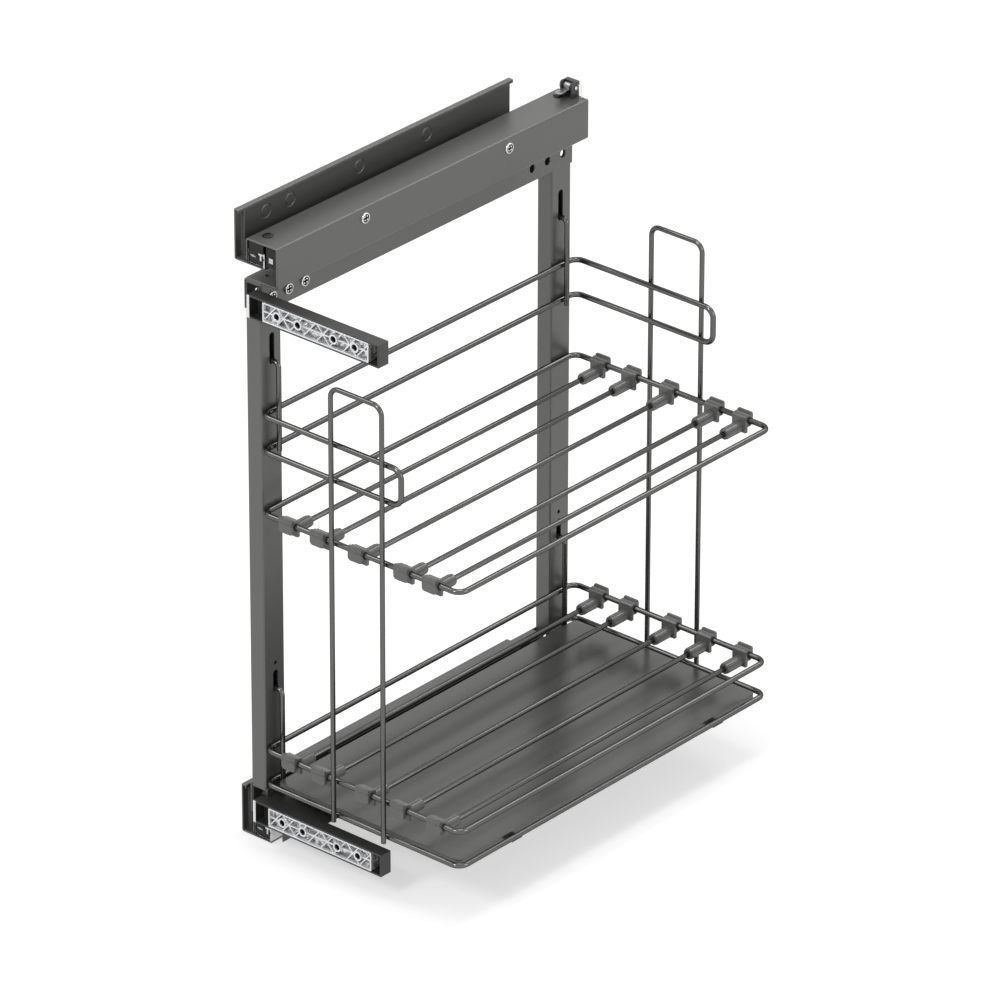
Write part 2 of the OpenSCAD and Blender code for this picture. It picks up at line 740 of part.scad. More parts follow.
module hook(y, z, low) {
  x_in = upright_face - hook_in;
  wire([[hook_x, y, low], [hook_x, y, z], [x_in, y, z], [x_in, y, z - hook_end]], lr, hook_bend * 0.72);
}
module hook_wires() {
  color("dimgray") place() for (y = [slot_y, beam_len - slot_y]) {
    hook(y, -slot_top - slot_len + slot_w / 2 + 0.1, -gallery_z - gallery_h - wr - 2);
    hook(y, -rim_z + slot_low_rise + slot_w / 2 + 0.1, -rim_z - 1);
  }
}

// Tray: a sheet with folded down edges and tabs under the rim wire
module tray_sheet() {
  color("dimgray") place() translate([0, 0, tray_top]) {
    difference() {
      translate([0, 0, -tray_lip]) linear_extrude(tray_lip) round_box(tray_x0, tray_y0, tray_x1, tray_y1, 4);
      translate([0, 0, -tray_lip - eps]) linear_extrude(tray_lip + eps - tray_t)
        round_box(tray_x0 + tray_t, tray_y0 + tray_t, tray_x1 - tray_t, tray_y1 - tray_t, 3);
    }
    for (y = tab_y) {
      low = -tray_top - rim_z - wr - tray_t - 0.1;
      translate([tray_x1 - tray_t, y, low])
        cube([back_x + basket_w + 1 - tray_x1 + tray_t, tab_len, tray_t]);
      translate([tray_x1 - tray_t, y, low]) cube([tray_t, tab_len, -low - 1]);
      translate([back_x - 1, y, low]) cube([tray_x0 + tray_t - back_x + 1, tab_len, tray_t]);
      translate([tray_x0, y, low]) cube([tray_t, tab_len, -low - 1]);
    }
  }
}

// Dividers: a rod between two snap-on clips that slide on the frame wires
module rod(x, z) {
  color("dimgray") place()
    bar_y(back_x + x, front_y + rod_inset, rear_y - rod_inset, z - rod_drop, rod_r);
}
// One clip, the wire along x at the origin and the socket along +y
module clip() {
  seat = wr + run;
  along_x(-clip_w / 2 + 1.5, clip_w / 2 - 1.5) box2(-clip_r + 0.5, -clip_low, 0.4, -clip_low + 2.8);
  difference() {
    union() {
      along_x(-clip_w / 2, clip_w / 2) {
        circle(clip_r);
        box2(-clip_r, -clip_low + 3, -clip_r + clip_plate, 0);
        box2(clip_r - clip_plate, -clip_in_low, clip_r, 0);
        translate([clip_roll - clip_r, clip_r - 0.4]) circle(clip_roll);
        box2(-clip_r, 0, -clip_r + 2.2, clip_r - 0.2);
        box2(clip_r - 3.5, 0, clip_r, clip_r - 1.4);
      }
      along_y(-clip_r, -clip_r + clip_plate) round_box(-clip_w / 2, -clip_low, clip_w / 2, 0, 3);
      bar_y(0, clip_r - clip_plate, clip_r + socket_len, -rod_drop, socket_r);
      for (a = [0 : 45 : 315]) translate([0, clip_r, -rod_drop]) rotate([0, a, 0])
        translate([-1, 0, 0]) cube([2, socket_len - 1.2, socket_r + 0.35]);
    }
    bar_x(-clip_w, clip_w, 0, 0, seat);
    along_x(-clip_w, clip_w) box2(-seat + 0.9, -clip_in_low - eps, seat - 0.9, 0);
    along_x(-clip_w, clip_w)
      box2(-clip_r + clip_plate, -clip_in_low - eps, clip_r - clip_plate, -seat - 0.4);
    bar_y(0, clip_r + socket_len - socket_deep, clip_r + socket_len + eps, -rod_drop, rod_r + fit / 2);
  }
}
module clips(x, z) {
  color("dimgray") place() {
    translate([back_x + x, front_y, z]) clip();
    translate([back_x + x, rear_y, z]) mirror([0, 1, 0]) clip();
  }
}
module rod_upper(i) {
  rod(upper_x[i], -upper_z);
}
module rod_lower(i) {
  rod(lower_x[i], -rim_z + lower_rise);
}
module clips_upper(i) {
  clips(upper_x[i], -upper_z);
}
module clips_lower(i) {
  clips(lower_x[i], -rim_z + lower_rise);
}

// Rear latch: bracket on the end of the beam, sprung lever, pin and wire spring
module latch_bracket() {
  y1 = beam_len;
  color("dimgray") place() difference() {
    union() {
      translate([latch_x0, y1 - latch_t, touch]) cube([latch_x1 - latch_x0, latch_t, latch_z + 5 - touch]);
      translate([latch_x0, y1 - 6.5, touch]) cube([latch_x1 - latch_x0, 6.5, latch_t]);
      for (x = [latch_x0, latch_x1 - latch_t])
        along_x(x, x + latch_t) round_box(latch_y - 5, touch + 0.4, y1, latch_z + 5, 2);
      translate([latch_x0, y1 - 5, latch_z + 5 - latch_t]) cube([latch_x1 - latch_x0, 5, latch_t]);
    }
    bar_x(latch_x0 - eps, latch_x1 + eps, latch_y, latch_z, latch_pin_r + touch);
    bar_x(latch_x1 - latch_t - eps, latch_x1 + eps, spring_y, spring_z, spring_r + 0.3);
    bar_z(rail_x, dome_y[1], 0, 3, 5.3);
    translate([latch_x0 + latch_t + 2.5, y1 - latch_t - eps, 3]) cube([5, latch_t + 2 * eps, 4]);
  }
}
module latch_pin() {
  color("gainsboro") place() {
    bar_x(latch_x0 - 1.5, latch_x1 + 1.2, latch_y, latch_z, latch_pin_r);
    bar_x(latch_x0 - 2.6, latch_x0 - 0.1, latch_y, latch_z, 3.4);
  }
}
module latch_lever() {
  x0 = latch_x0 + latch_t + run;
  color("darkgray") place() difference() {
    union() {
      bar_x(x0, x0 + lever_w, latch_y, latch_z, 3.2);
      translate([x0, latch_y - lever_len, latch_z - 3.2]) cube([lever_w, lever_len, 1.5]);
      bar_z(x0 + lever_w / 2, latch_y - lever_len, latch_z - 3.2, latch_z - 1.7, lever_w / 2);
      translate([x0 + 1, latch_y, latch_z + 0.4]) cube([lever_w - 2, latch_tail, 2.4]);
    }
    bar_x(x0 - eps, x0 + lever_w + eps, latch_y, latch_z, latch_pin_r + 0.06);
  }
}
module latch_spring() {
  x1 = latch_x1 + 3.4;
  low = touch + spring_r + 0.2;
  color("gainsboro") place() wire([[latch_x0 + latch_t + 2, spring_y, spring_z], [x1, spring_y, spring_z],
    [x1, spring_y, low], [x1 + 6, spring_y, low]], spring_r, 1.5);
}

wall_profile(0);  // wall_profile_upper
wall_profile(level_gap);  // wall_profile_lower
outer_rail(0, true);  // outer_rail_upper
outer_rail(level_gap, false);  // outer_rail_lower
mid_rail(0);  // mid_rail_upper
mid_rail(level_gap);  // mid_rail_lower
ball_cage_a(0);  // ball_cage_a_upper
ball_cage_b(0);  // ball_cage_b_upper
ball_cage_a(level_gap);  // ball_cage_a_lower
ball_cage_b(level_gap);  // ball_cage_b_lower
inner_rail(0);  // inner_rail_upper
inner_rail(level_gap);  // inner_rail_lower
beam_upper();
beam_lower();
crossbar_upper();
crossbar_lower();
upright_front();
upright_rear();
front_caps();
dome_screws();
pan_screws();
door_bracket_upper();
door_bracket_lower();
door_insert_upper();
door_insert_lower();
soft_close_housing();
soft_close_damper();
gallery();
divider_frame_upper();
divider_frame_lower();
tray_rim();
loop_front();
loop_rear();
hook_wires();
tray_sheet();
latch_bracket();
latch_lever();
latch_pin();
latch_spring();
rod_upper(0);  // rod_upper_1
rod_upper(1);  // rod_upper_2
rod_upper(2);  // rod_upper_3
rod_upper(3);  // rod_upper_4
rod_upper(4);  // rod_upper_5
rod_lower(0);  // rod_lower_1
rod_lower(1);  // rod_lower_2
rod_lower(2);  // rod_lower_3
rod_lower(3);  // rod_lower_4
rod_lower(4);  // rod_lower_5
clips_upper(0);  // clips_upper_1
clips_upper(1);  // clips_upper_2
clips_upper(2);  // clips_upper_3
clips_upper(3);  // clips_upper_4
clips_upper(4);  // clips_upper_5
clips_lower(0);  // clips_lower_1
clips_lower(1);  // clips_lower_2
clips_lower(2);  // clips_lower_3
clips_lower(3);  // clips_lower_4
clips_lower(4);  // clips_lower_5
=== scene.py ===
"""Pull-out baking tray rack: finishes, rounded sheets, bent wires, screws and studio.

All sizes are in millimetres in the drawing frame of the part: x from the wall,
y from the front end of the beams, z from the top face of the upper beam.
place() moves them to the row frame, in metres.
"""

import json
import math

import bmesh
import bpy
import numpy as np
from bpy.props import FloatProperty, FloatVectorProperty, IntProperty, PointerProperty
from mathutils import Matrix, Vector

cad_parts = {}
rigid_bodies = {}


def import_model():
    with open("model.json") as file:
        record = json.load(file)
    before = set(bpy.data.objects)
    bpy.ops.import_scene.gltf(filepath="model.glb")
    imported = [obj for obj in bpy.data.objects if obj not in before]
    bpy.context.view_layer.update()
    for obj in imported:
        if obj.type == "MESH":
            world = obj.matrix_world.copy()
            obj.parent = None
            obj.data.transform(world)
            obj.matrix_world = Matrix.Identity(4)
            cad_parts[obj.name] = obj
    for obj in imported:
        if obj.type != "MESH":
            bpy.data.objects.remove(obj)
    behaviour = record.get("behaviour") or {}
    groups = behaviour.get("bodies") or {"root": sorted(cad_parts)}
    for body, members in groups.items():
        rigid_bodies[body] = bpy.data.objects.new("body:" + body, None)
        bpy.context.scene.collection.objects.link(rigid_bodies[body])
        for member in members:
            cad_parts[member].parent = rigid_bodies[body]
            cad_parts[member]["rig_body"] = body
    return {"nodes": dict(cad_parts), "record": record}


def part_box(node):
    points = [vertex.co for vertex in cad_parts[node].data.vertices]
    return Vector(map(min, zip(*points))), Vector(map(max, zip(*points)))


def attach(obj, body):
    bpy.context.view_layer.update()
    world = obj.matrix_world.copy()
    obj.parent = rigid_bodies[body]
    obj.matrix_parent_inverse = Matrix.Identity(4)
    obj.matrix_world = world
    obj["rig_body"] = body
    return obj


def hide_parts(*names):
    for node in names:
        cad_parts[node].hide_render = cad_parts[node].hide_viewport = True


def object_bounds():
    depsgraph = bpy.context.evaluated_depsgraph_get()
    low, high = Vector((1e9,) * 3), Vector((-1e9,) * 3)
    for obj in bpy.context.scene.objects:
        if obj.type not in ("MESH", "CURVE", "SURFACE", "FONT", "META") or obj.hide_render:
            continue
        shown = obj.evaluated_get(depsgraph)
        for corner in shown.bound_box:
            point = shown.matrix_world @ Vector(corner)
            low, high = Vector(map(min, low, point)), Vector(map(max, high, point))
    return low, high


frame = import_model()
CAD_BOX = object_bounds()
NODES = frame["nodes"]
SLOTS = {m["slot"]: m["base_color"][:3] for m in frame["record"]["materials"]}
NODE_SLOT = {s["node"]: s["material_slot"] for s in frame["record"]["subparts"]}

bl_info = {
    "name": "Pull-out Baking Tray Rack",
    "version": (1, 0, 0),
    "blender": (4, 5, 0),
    "location": "3D View > Sidebar > Tray Rack",
    "description": "Dresses a pull-out rack's solids with coated sheet, wire, screws and slides",
    "category": "Object",
}

# Added to a point of the drawing frame to measure it from the middle of the upper screw row.
ROW_MIDDLE = np.array([0.0, -163.0, 14.0])
LEVEL_GAP = 541.0
LEVELS = (("upper", 0.0), ("lower", LEVEL_GAP))

# Mouth of each slide: the middle of its rail, the bright tee and the lens on the end cap, each
# with its place from that middle, the black end of the fixed rail, and the damper's white panes.
# The lens's bright steel is a painted highlight of the glossy black end cap.
RAIL_X = 24.2
TEE_OFF, TEE_TOP, TEE_BAR, TEE_STEM, TEE_THICK, TEE_DEEP = 5.2, -9.8, 2.4, 0.8, 1.4, 6.2
LENS_OFF, LENS_Z, LENS_R, LENS_FLAT, LENS_HIGH = -3.1, -13.2, 3.9, 0.42, 1.0
RAIL_END_W, RAIL_END_H, RAIL_END_TOP, RAIL_END_WALL = 19.0, 12.8, -9.0, 1.4
PANE_X, PANE_Z, PANE_W, PANE_H = (38.2, 40.5), (-15.3, -12.9), 1.9, 2.0

# Basket: back wire and width, cross wires, and the heights of the rings.
BACK_X, BASKET_W = 31.2, 218.0
FRONT_Y, REAR_Y = -2.4, 397.6
GALLERY_Z, GALLERY_H, GALLERY_ARM = -156.4, 33.2, 154.0
UPPER_Z, LOWER_Z, RIM_Z = -248.0, -473.3, -506.0
WIRE_R, LOOP_R, ROD_R = 2.5, 2.2, 2.3
LOOP_X, LOOP_W, LOOP_TOP, LOOP_LOW = 112.1, 56.1, -101.8, -510.9
LOOP_OFF = 4.72
HOOK_X, HOOK_IN_X = 35.92, 19.0
HOOK_Y = (13.5, 380.5)
HOOKS = ((-112.3, -194.1), (-420.8, -507.0))
HOOK_TIP = 9.0
BEND, HOOK_BEND = 9.0, 5.04

# Divider clips: their width, and the (out, up) places of the ridges on the saddle.
CLIP_W, RIDGE_R, RIDGE_INSET = 15.0, 0.62, 0.4
RIDGES = ((4.85, 1.4), (4.85, 3.0), (4.2, 5.8), (2.95, 5.85))

# Screws and cast inserts.
WEB_SCREWS = ((47.7, 108.0, -9.5), (47.7, 290.0, -9.5))
BAR_FACE = 30.02
BAR_SCREWS = tuple((BAR_FACE, y, z) for y in (12.5, 32.5, 52.5) for z in (-52.4, -526.8))
DOME_SCREWS = tuple((RAIL_X, y, -drop) for _, drop in LEVELS for y in (14.8, 382.0))
HEAD_R, PAN_H, PAN_RIM = 4.9, 1.9, 0.8
GROOVE_R, GROOVE_DEEP, FIELD_R, FIELD_DEEP = 3.25, 0.8, 2.9, 0.2
DOME_R, DOME_DROP = 7.2, 4.98
SEAT_GAP, CENTRE_R = 0.02, 0.1
INSERT_X, INSERT_Z, HOLE_SPACING = 100.5, (-53.7, -530.5), (39.2, 85.7)
INSERT_HOLE_R, INSERT_FACE_Y, BAY_Y = 2.9, -12.3, -9.6
BRACKET_EDGE_X, BRACKET_EDGE_Y = 27.6, -12.45

# Rear latch spring: its height and place, the two legs and the foot.
SPRING_R, SPRING_BEND = 0.4, 0.9
SPRING_Y, SPRING_Z, SPRING_FOOT_Z = 391.75, 10.6, 0.62
SPRING_ARM_X, SPRING_LEGS_X, SPRING_FOOT_X = 27.8, (38.7, 41.3), 46.8

# Colours that no slot of the part has. The first two are painted shade, in the insert's screw
# holes and in the screws' grooves and crosses.
HOLE_SHADE, RECESS_SHADE = (0.012, 0.012, 0.013), (0.03, 0.03, 0.032)
BARE_ZINC, WHITE_MOULDING = (0.78, 0.78, 0.78), (0.82, 0.82, 0.8)

# Studio, in metres: where the lamps aim, the floor and its glow for the camera, and each lamp's
# place and size.
SIGHT = (0.12, 0.02, -0.25)
FLOOR_DROP, FLOOR_HALF = 0.0006, 40.0
FLOOR_GLOW = 0.56
LAMPS = (
    ("rear_rim_lamp", (0.5, 2.7, 2.7), 1.3),
    ("left_rim_lamp", (-2.3, -1.1, 2.7), 1.3),
    ("key_lamp", (0.2, -3.4, 2.6), 0.9),
    ("fill_lamp", (3.4, 0.6, 1.2), 1.6),
    ("top_lamp", (0.2, 0.3, 3.0), 1.2),
)


# Properties


def colour_property(name, description, default):
    """A colour of three numbers from 0 to 1."""
    return FloatVectorProperty(
        name=name,
        description=description,
        default=default,
        size=3,
        min=0,
        max=1,
        subtype="COLOR",
    )


def lamp_property(name, description, default):
    """The power of a lamp in watts."""
    return FloatProperty(
        name=name,
        description=description,
        default=default,
        min=0,
        max=500,
        subtype="POWER",
        unit="POWER",
    )


class RackSizes(bpy.types.PropertyGroup):
    """Sizes that only the dressed rack has."""

    fold_round: FloatProperty(
        name="Fold rounding",
        description="Radius left on the edges of the coated sheet by its coat",
        default=0.0004,
        min=0.0001,
        max=0.001,
        precision=5,
        unit="LENGTH",
    )
    small_round: FloatProperty(
        name="Small rounding",
        description="Radius on the edges of the rails, clips and cast parts",
        default=0.0002,
        min=0.00005,
        max=0.0005,
        precision=5,
        unit="LENGTH",
    )
    wire_sides: IntProperty(
        name="Wire sides",
        description="Number of faces round a wire",
        default=24,
        min=12,
        max=48,
    )
    bend_steps: IntProperty(
        name="Bend steps",
        description="Number of steps in each bend of a wire",
        default=12,
        min=4,
        max=32,
    )
    weld_length: FloatProperty(
        name="Weld length",
        description="Length of the pressed weld where two wires cross",
        default=0.0034,
        min=0.001,
        max=0.006,
        precision=4,
        unit="LENGTH",
    )


class RackFinish(bpy.types.PropertyGroup):
    """Colours and gloss of the rack."""

    coat: colour_property(
        "Coat", "Anthracite powder coat of the beams, uprights and tray", SLOTS["anthracite"]
    )
    wire: colour_property("Wire", "Anthracite coat of the basket wires", SLOTS["wire"])
    clip: colour_property("Clip", "Moulded plastic of the divider clips", SLOTS["clip"])
    bracket: colour_property(
        "Bracket", "Black coat of the door brackets and domed screws", SLOTS["black_steel"]
    )
    zinc: colour_property("Zinc", "Bright zinc of the slide rails", SLOTS["zinc"])
    cast: colour_property("Casting", "Die-cast metal of the door inserts", SLOTS["cast"])
    coat_roughness: FloatProperty(
        name="Coat roughness",
        description="Roughness of the satin powder coat",
        default=0.34,
        min=0.1,
        max=1,
        subtype="FACTOR",
    )
    wire_roughness: FloatProperty(
        name="Wire roughness",
        description="Roughness of the coated wires",
        default=0.2,
        min=0.1,
        max=1,
        subtype="FACTOR",
    )


class RackStudio(bpy.types.PropertyGroup):
    """Camera, floor and lamps."""

    camera_place: FloatVectorProperty(
        name="Camera place",
        description="Where the camera stands in the row frame",
        default=(4.29111, -4.78393, 3.02760),
        size=3,
        subtype="TRANSLATION",
        unit="LENGTH",
    )
    camera_azimuth: FloatProperty(
        name="Camera azimuth",
        description="Turn of the camera round the rack from straight in front",
        default=math.radians(40.887),
        subtype="ANGLE",
    )
    camera_elevation: FloatProperty(
        name="Camera elevation",
        description="Height of the camera above the horizon",
        default=math.radians(27.351),
        subtype="ANGLE",
    )
    camera_roll: FloatProperty(
        name="Camera roll",
        description="Turn of the camera about its own axis",
        default=math.radians(0.138),
        subtype="ANGLE",
    )
    lens: FloatProperty(
        name="Lens",
        description="Focal length in millimetres on a 36 mm sensor",
        default=305.58,
        min=50,
        max=500,
    )
    sky: FloatProperty(
        name="Sky strength",
        description="Strength of the even light from all sides",
        default=0.42,
        min=0,
        max=2,
    )
    key_watts: lamp_property("Key light", "Power of the soft lamp in front", 56.0)
    fill_watts: lamp_property("Fill light", "Power of the soft lamp at the right", 26.0)
    top_watts: lamp_property("Top light", "Power of the soft lamp above the rack", 24.0)
    rim_watts: lamp_property(
        "Rim lights", "Power of each of the two lamps that draw a bright line on the wires", 24.0
    )
    floor_shade: colour_property("Floor", "Colour of the floor", (0.6, 0.6, 0.6))


# From the drawing frame to the row frame


def place(points):
    """Drawing frame in millimetres to row frame in metres."""
    return (np.asarray(points, float) + ROW_MIDDLE) / 1000


def row_y(y):
    """A drawing frame y in millimetres as a row frame y in metres."""
    return (y + ROW_MIDDLE[1]) / 1000


def row_z(z):
    """A drawing frame z in millimetres as a row frame z in metres."""
    return (z + ROW_MIDDLE[2]) / 1000


# Shader arithmetic


class Value:
    """A socket of a material. Arithmetic on it adds Math nodes, node() adds any other node."""

    def __init__(self, tree, socket=None):
        self.tree = tree
        self.socket = socket

    def node(self, kind, settings=None, inputs=None, output=0):
        """Adds a node of that kind, sets its settings and then its sockets, by name or number."""
        made = self.tree.nodes.new(kind)
        for name, value in (settings or {}).items():
            if name == "stops":
                ramp = made.color_ramp
                while len(ramp.elements) < len(value):
                    ramp.elements.new(0.5)
                for element, (position, shade) in zip(ramp.elements, value):
                    element.position = position
                    element.color = (shade, shade, shade, 1)
            else:
                setattr(made, name, value)
        for key, value in (inputs or {}).items():
            if isinstance(value, Value):
                self.tree.links.new(value.socket, made.inputs[key])
            else:
                made.inputs[key].default_value = value
        return Value(self.tree, made.outputs[output]) if len(made.outputs) else None

    def math(self, operation, *operands):
        return self.node("ShaderNodeMath", {"operation": operation}, dict(enumerate(operands)))

    def __add__(self, other):
        return self.math("ADD", self, other)

    def __sub__(self, other):
        return self.math("SUBTRACT", self, other)

    def __rsub__(self, other):
        return self.math("SUBTRACT", other, self)

    def __mul__(self, other):
        return self.math("MULTIPLY", self, other)

    def __gt__(self, other):
        return self.math("GREATER_THAN", self, other)

    def __lt__(self, other):
        return self.math("LESS_THAN", self, other)

    __radd__ = __add__
    __rmul__ = __mul__


def new_material(name):
    """An empty node material and the Value that its tree grows from."""
    material = bpy.data.materials.new(name)
    material.use_nodes = True
    material.node_tree.nodes.clear()
    return material, Value(material.node_tree)


def surface(tree, constants, linked):
    """Principled shader to the output: numbers and colours on its sockets, Values linked to it."""
    shader = tree.node("ShaderNodeBsdfPrincipled", None, {**constants, **linked})
    tree.node("ShaderNodeOutputMaterial", None, {"Surface": shader})


def noise(tree, point, scale, detail=2.0, roughness=0.5):
    """Cloud noise from 0 to 1 at a point, with its scale in 1/metres."""
    inputs = {"Vector": point, "Scale": scale, "Detail": detail, "Roughness": roughness}
    return tree.node("ShaderNodeTexNoise", None, inputs)


def stretched(tree, point, scale):
    """The point multiplied by a scale for each axis."""
    return tree.node("ShaderNodeVectorMath", {"operation": "MULTIPLY"}, {0: point, 1: scale})


def tinted(tree, factor, low, high):
    """Colour from low to high by a factor. Low may be a Value."""
    start = low if isinstance(low, Value) else (*low, 1)
    return tree.node(
        "ShaderNodeMix", {"data_type": "RGBA"}, {0: factor, 6: start, 7: (*high, 1)}, 2
    )


def bumped(tree, height, strength, distance):
    """Normal of a height field, with its distance in metres."""
    inputs = {"Strength": strength, "Distance": distance, "Height": height}
    return tree.node("ShaderNodeBump", None, inputs)


def object_point(tree):
    """The point in the object's own frame, in metres."""
    return tree.node("ShaderNodeTexCoord", None, None, "Object")


def axis_of(tree, point, axis):
    """One coordinate of a point: 0, 1 or 2 for x, y or z."""
    return tree.node("ShaderNodeSeparateXYZ", None, {0: point}, axis)


def shades(colour, low, high):
    """The colour made darker and paler by two factors, held to 1."""
    return [c * low for c in colour], [min(1, c * high) for c in colour]


def behind_the_rack(tree):
    """1 for rays from the camera, a mirror or a clear part, and 0 for rays that only light."""
    kinds = ("Is Camera Ray", "Is Glossy Ray", "Is Transmission Ray")
    rays = [tree.node("ShaderNodeLightPath", None, None, kind) for kind in kinds]
    return tree.math("MINIMUM", rays[0] + rays[1] + rays[2], 1.0)


def powder_coat(name, colour, roughness, peel=0.12, spread=0.07, metallic=0.0):
    """Satin powder coat: an orange peel of 0.7 mm, and a slow drift of tone and gloss."""
    material, tree = new_material(name)
    point = object_point(tree)
    drift = noise(tree, point, 9.0, 3.0)
    skin = noise(tree, point, 1500.0, 2.0)
    tones = shades(colour, 1 - spread, 1 + spread)
    linked = {
        "Base Color": tinted(tree, drift * 0.7 + skin * 0.3, *tones),
        "Roughness": drift * 0.08 + skin * 0.04 + (roughness - 0.06),
        "Normal": bumped(tree, skin, peel, 0.00008),
    }
    surface(tree, {"Metallic": metallic, "IOR": 1.5}, linked)
    return material


def wire_coat(name, colour, roughness):
    """Glossy thin coat on drawn wire: dark at its edges, a bright line where a lamp is mirrored."""
    material, tree = new_material(name)
    point = object_point(tree)
    drift = noise(tree, point, 14.0, 2.0)
    linked = {
        "Base Color": tinted(tree, drift, *shades(colour, 0.95, 1.2)),
        "Roughness": drift * 0.06 + (roughness - 0.03),
    }
    surface(tree, {"Metallic": 0.92, "IOR": 1.3, "Specular Tint": (0.2, 0.2, 0.2, 1)}, linked)
    return material


def moulded_plastic(name, colour, roughness, grain=0.15, ior=1.46):
    """Moulded plastic: a fine spark-eroded grain and a slightly glossier drift."""
    material, tree = new_material(name)
    point = object_point(tree)
    drift = noise(tree, point, 60.0, 2.0)
    sparks = noise(tree, point, 4200.0, 1.0)
    linked = {
        "Base Color": tinted(tree, drift, *shades(colour, 0.9, 1.12)),
        "Roughness": drift * 0.1 + (roughness - 0.05),
        "Normal": bumped(tree, sparks, grain, 0.00003),
    }
    surface(tree, {"IOR": ior}, linked)
    return material


def rolled_metal(name, colour, roughness, along, lines=0.12):
    """Bright metal with fine rolling lines along one axis (0, 1 or 2) and soft clouds."""
    material, tree = new_material(name)
    point = object_point(tree)
    squeeze = [2600.0, 2600.0, 2600.0]
    squeeze[along] = 40.0
    streak = noise(tree, stretched(tree, point, squeeze), 1.0, 3.0)
    cloud = noise(tree, point, 45.0, 3.0)
    mixed = streak * 0.55 + cloud * 0.45
    linked = {
        "Base Color": tinted(tree, mixed, *shades(colour, 0.82, 1.12)),
        "Roughness": mixed * 0.16 + (roughness - 0.08),
        "Normal": bumped(tree, streak, lines, 0.00004),
    }
    surface(tree, {"Metallic": 1.0}, linked)
    return material


def cast_metal(name, colour, roughness):
    """Die-cast metal: grey bays with bright cloud patches, which are painted reflections, and
    painted shade that makes the bays darker than the pale ribs and rims and the screw holes near
    black.

    A point is in a hole where (|x - middle| - h)^2 + z'^2 is under the square of the hole's
    radius, for the half spacing h of a pair of holes, with z' the height from the middle of the
    nearer insert.
    """
    material, tree = new_material(name)
    point = object_point(tree)
    glint_cloud = noise(tree, stretched(tree, point, (300.0, 160.0, 380.0)), 1.0, 2.0, 0.5)
    grain = noise(tree, point, 2600.0, 2.0)
    x, y, z = (axis_of(tree, point, axis) for axis in range(3))
    side = tree.math("ABSOLUTE", x - INSERT_X / 1000)
    level = tree.math("MINIMUM", *(tree.math("ABSOLUTE", z - row_z(h)) for h in INSERT_Z))
    near = tree.math("MINIMUM", *(tree.math("ABSOLUTE", side - h / 2000) for h in HOLE_SPACING))
    inside = near * near + level * level < (INSERT_HOLE_R / 1000) ** 2
    # Painted shade: the walls of the screw holes go near black.
    hole = inside * (y > row_y(INSERT_FACE_Y))
    # Painted shade and painted reflections: the lower bays are darker than the front rims and ribs,
    # with bright cloud patches.
    bay_shade = y > row_y(BAY_Y)
    painted_glints = tree.node("ShaderNodeValToRGB", {"stops": ((0.5, 0.0), (0.58, 1.0))}, {0: glint_cloud})
    shade = painted_glints * bay_shade * 0.85 + grain * 0.15 + (1 - bay_shade) * 0.7
    metal = tinted(tree, shade, *shades(colour, 0.42, 1.3))
    linked = {
        "Base Color": tinted(tree, hole, metal, HOLE_SHADE),
        "Metallic": (1 - hole) * 0.45,
        "Roughness": grain * 0.1 + (roughness - 0.06),
        "Normal": bumped(tree, grain * 0.2 + glint_cloud * 0.8, 0.4, 0.0004),
    }
    surface(tree, {}, linked)
    return material


def bracket_coat(name, colour, roughness):
    """Black coat of a door bracket; the sheared front edge of its inner wall shows bare zinc."""
    material, tree = new_material(name)
    point = object_point(tree)
    drift = noise(tree, point, 12.0, 3.0)
    skin = noise(tree, point, 1500.0, 2.0)
    x, y = axis_of(tree, point, 0), axis_of(tree, point, 1)
    bare = (x < BRACKET_EDGE_X / 1000) * (y < row_y(BRACKET_EDGE_Y))
    black = tinted(tree, drift, *shades(colour, 0.85, 1.2))
    linked = {
        "Base Color": tinted(tree, bare, black, BARE_ZINC),
        "Metallic": bare * 0.6,
        "Roughness": drift * 0.08 + skin * 0.04 + (roughness - 0.06),
        "Normal": bumped(tree, skin, 0.12, 0.00008),
    }
    surface(tree, {"IOR": 1.5}, linked)
    return material


def screw_metal(name, colour, roughness):
    """Bright plated screw; its groove and cross, marked by the attribute "recess", are painted dark
    as painted shade.
    """
    material, tree = new_material(name)
    point = object_point(tree)
    streak = noise(tree, point, 900.0, 2.0)
    recess = tree.node("ShaderNodeAttribute", {"attribute_name": "recess"}, None, "Fac")
    bright = tinted(tree, streak, *shades(colour, 0.85, 1.15))
    linked = {
        # Painted shade: the groove and cross are darkened in the colour.
        "Base Color": tinted(tree, recess, bright, RECESS_SHADE),
        "Roughness": streak * 0.08 + (roughness - 0.04),
        "Normal": bumped(tree, streak, 0.1, 0.00003),
    }
    surface(tree, {"Metallic": 0.9}, linked)
    return material


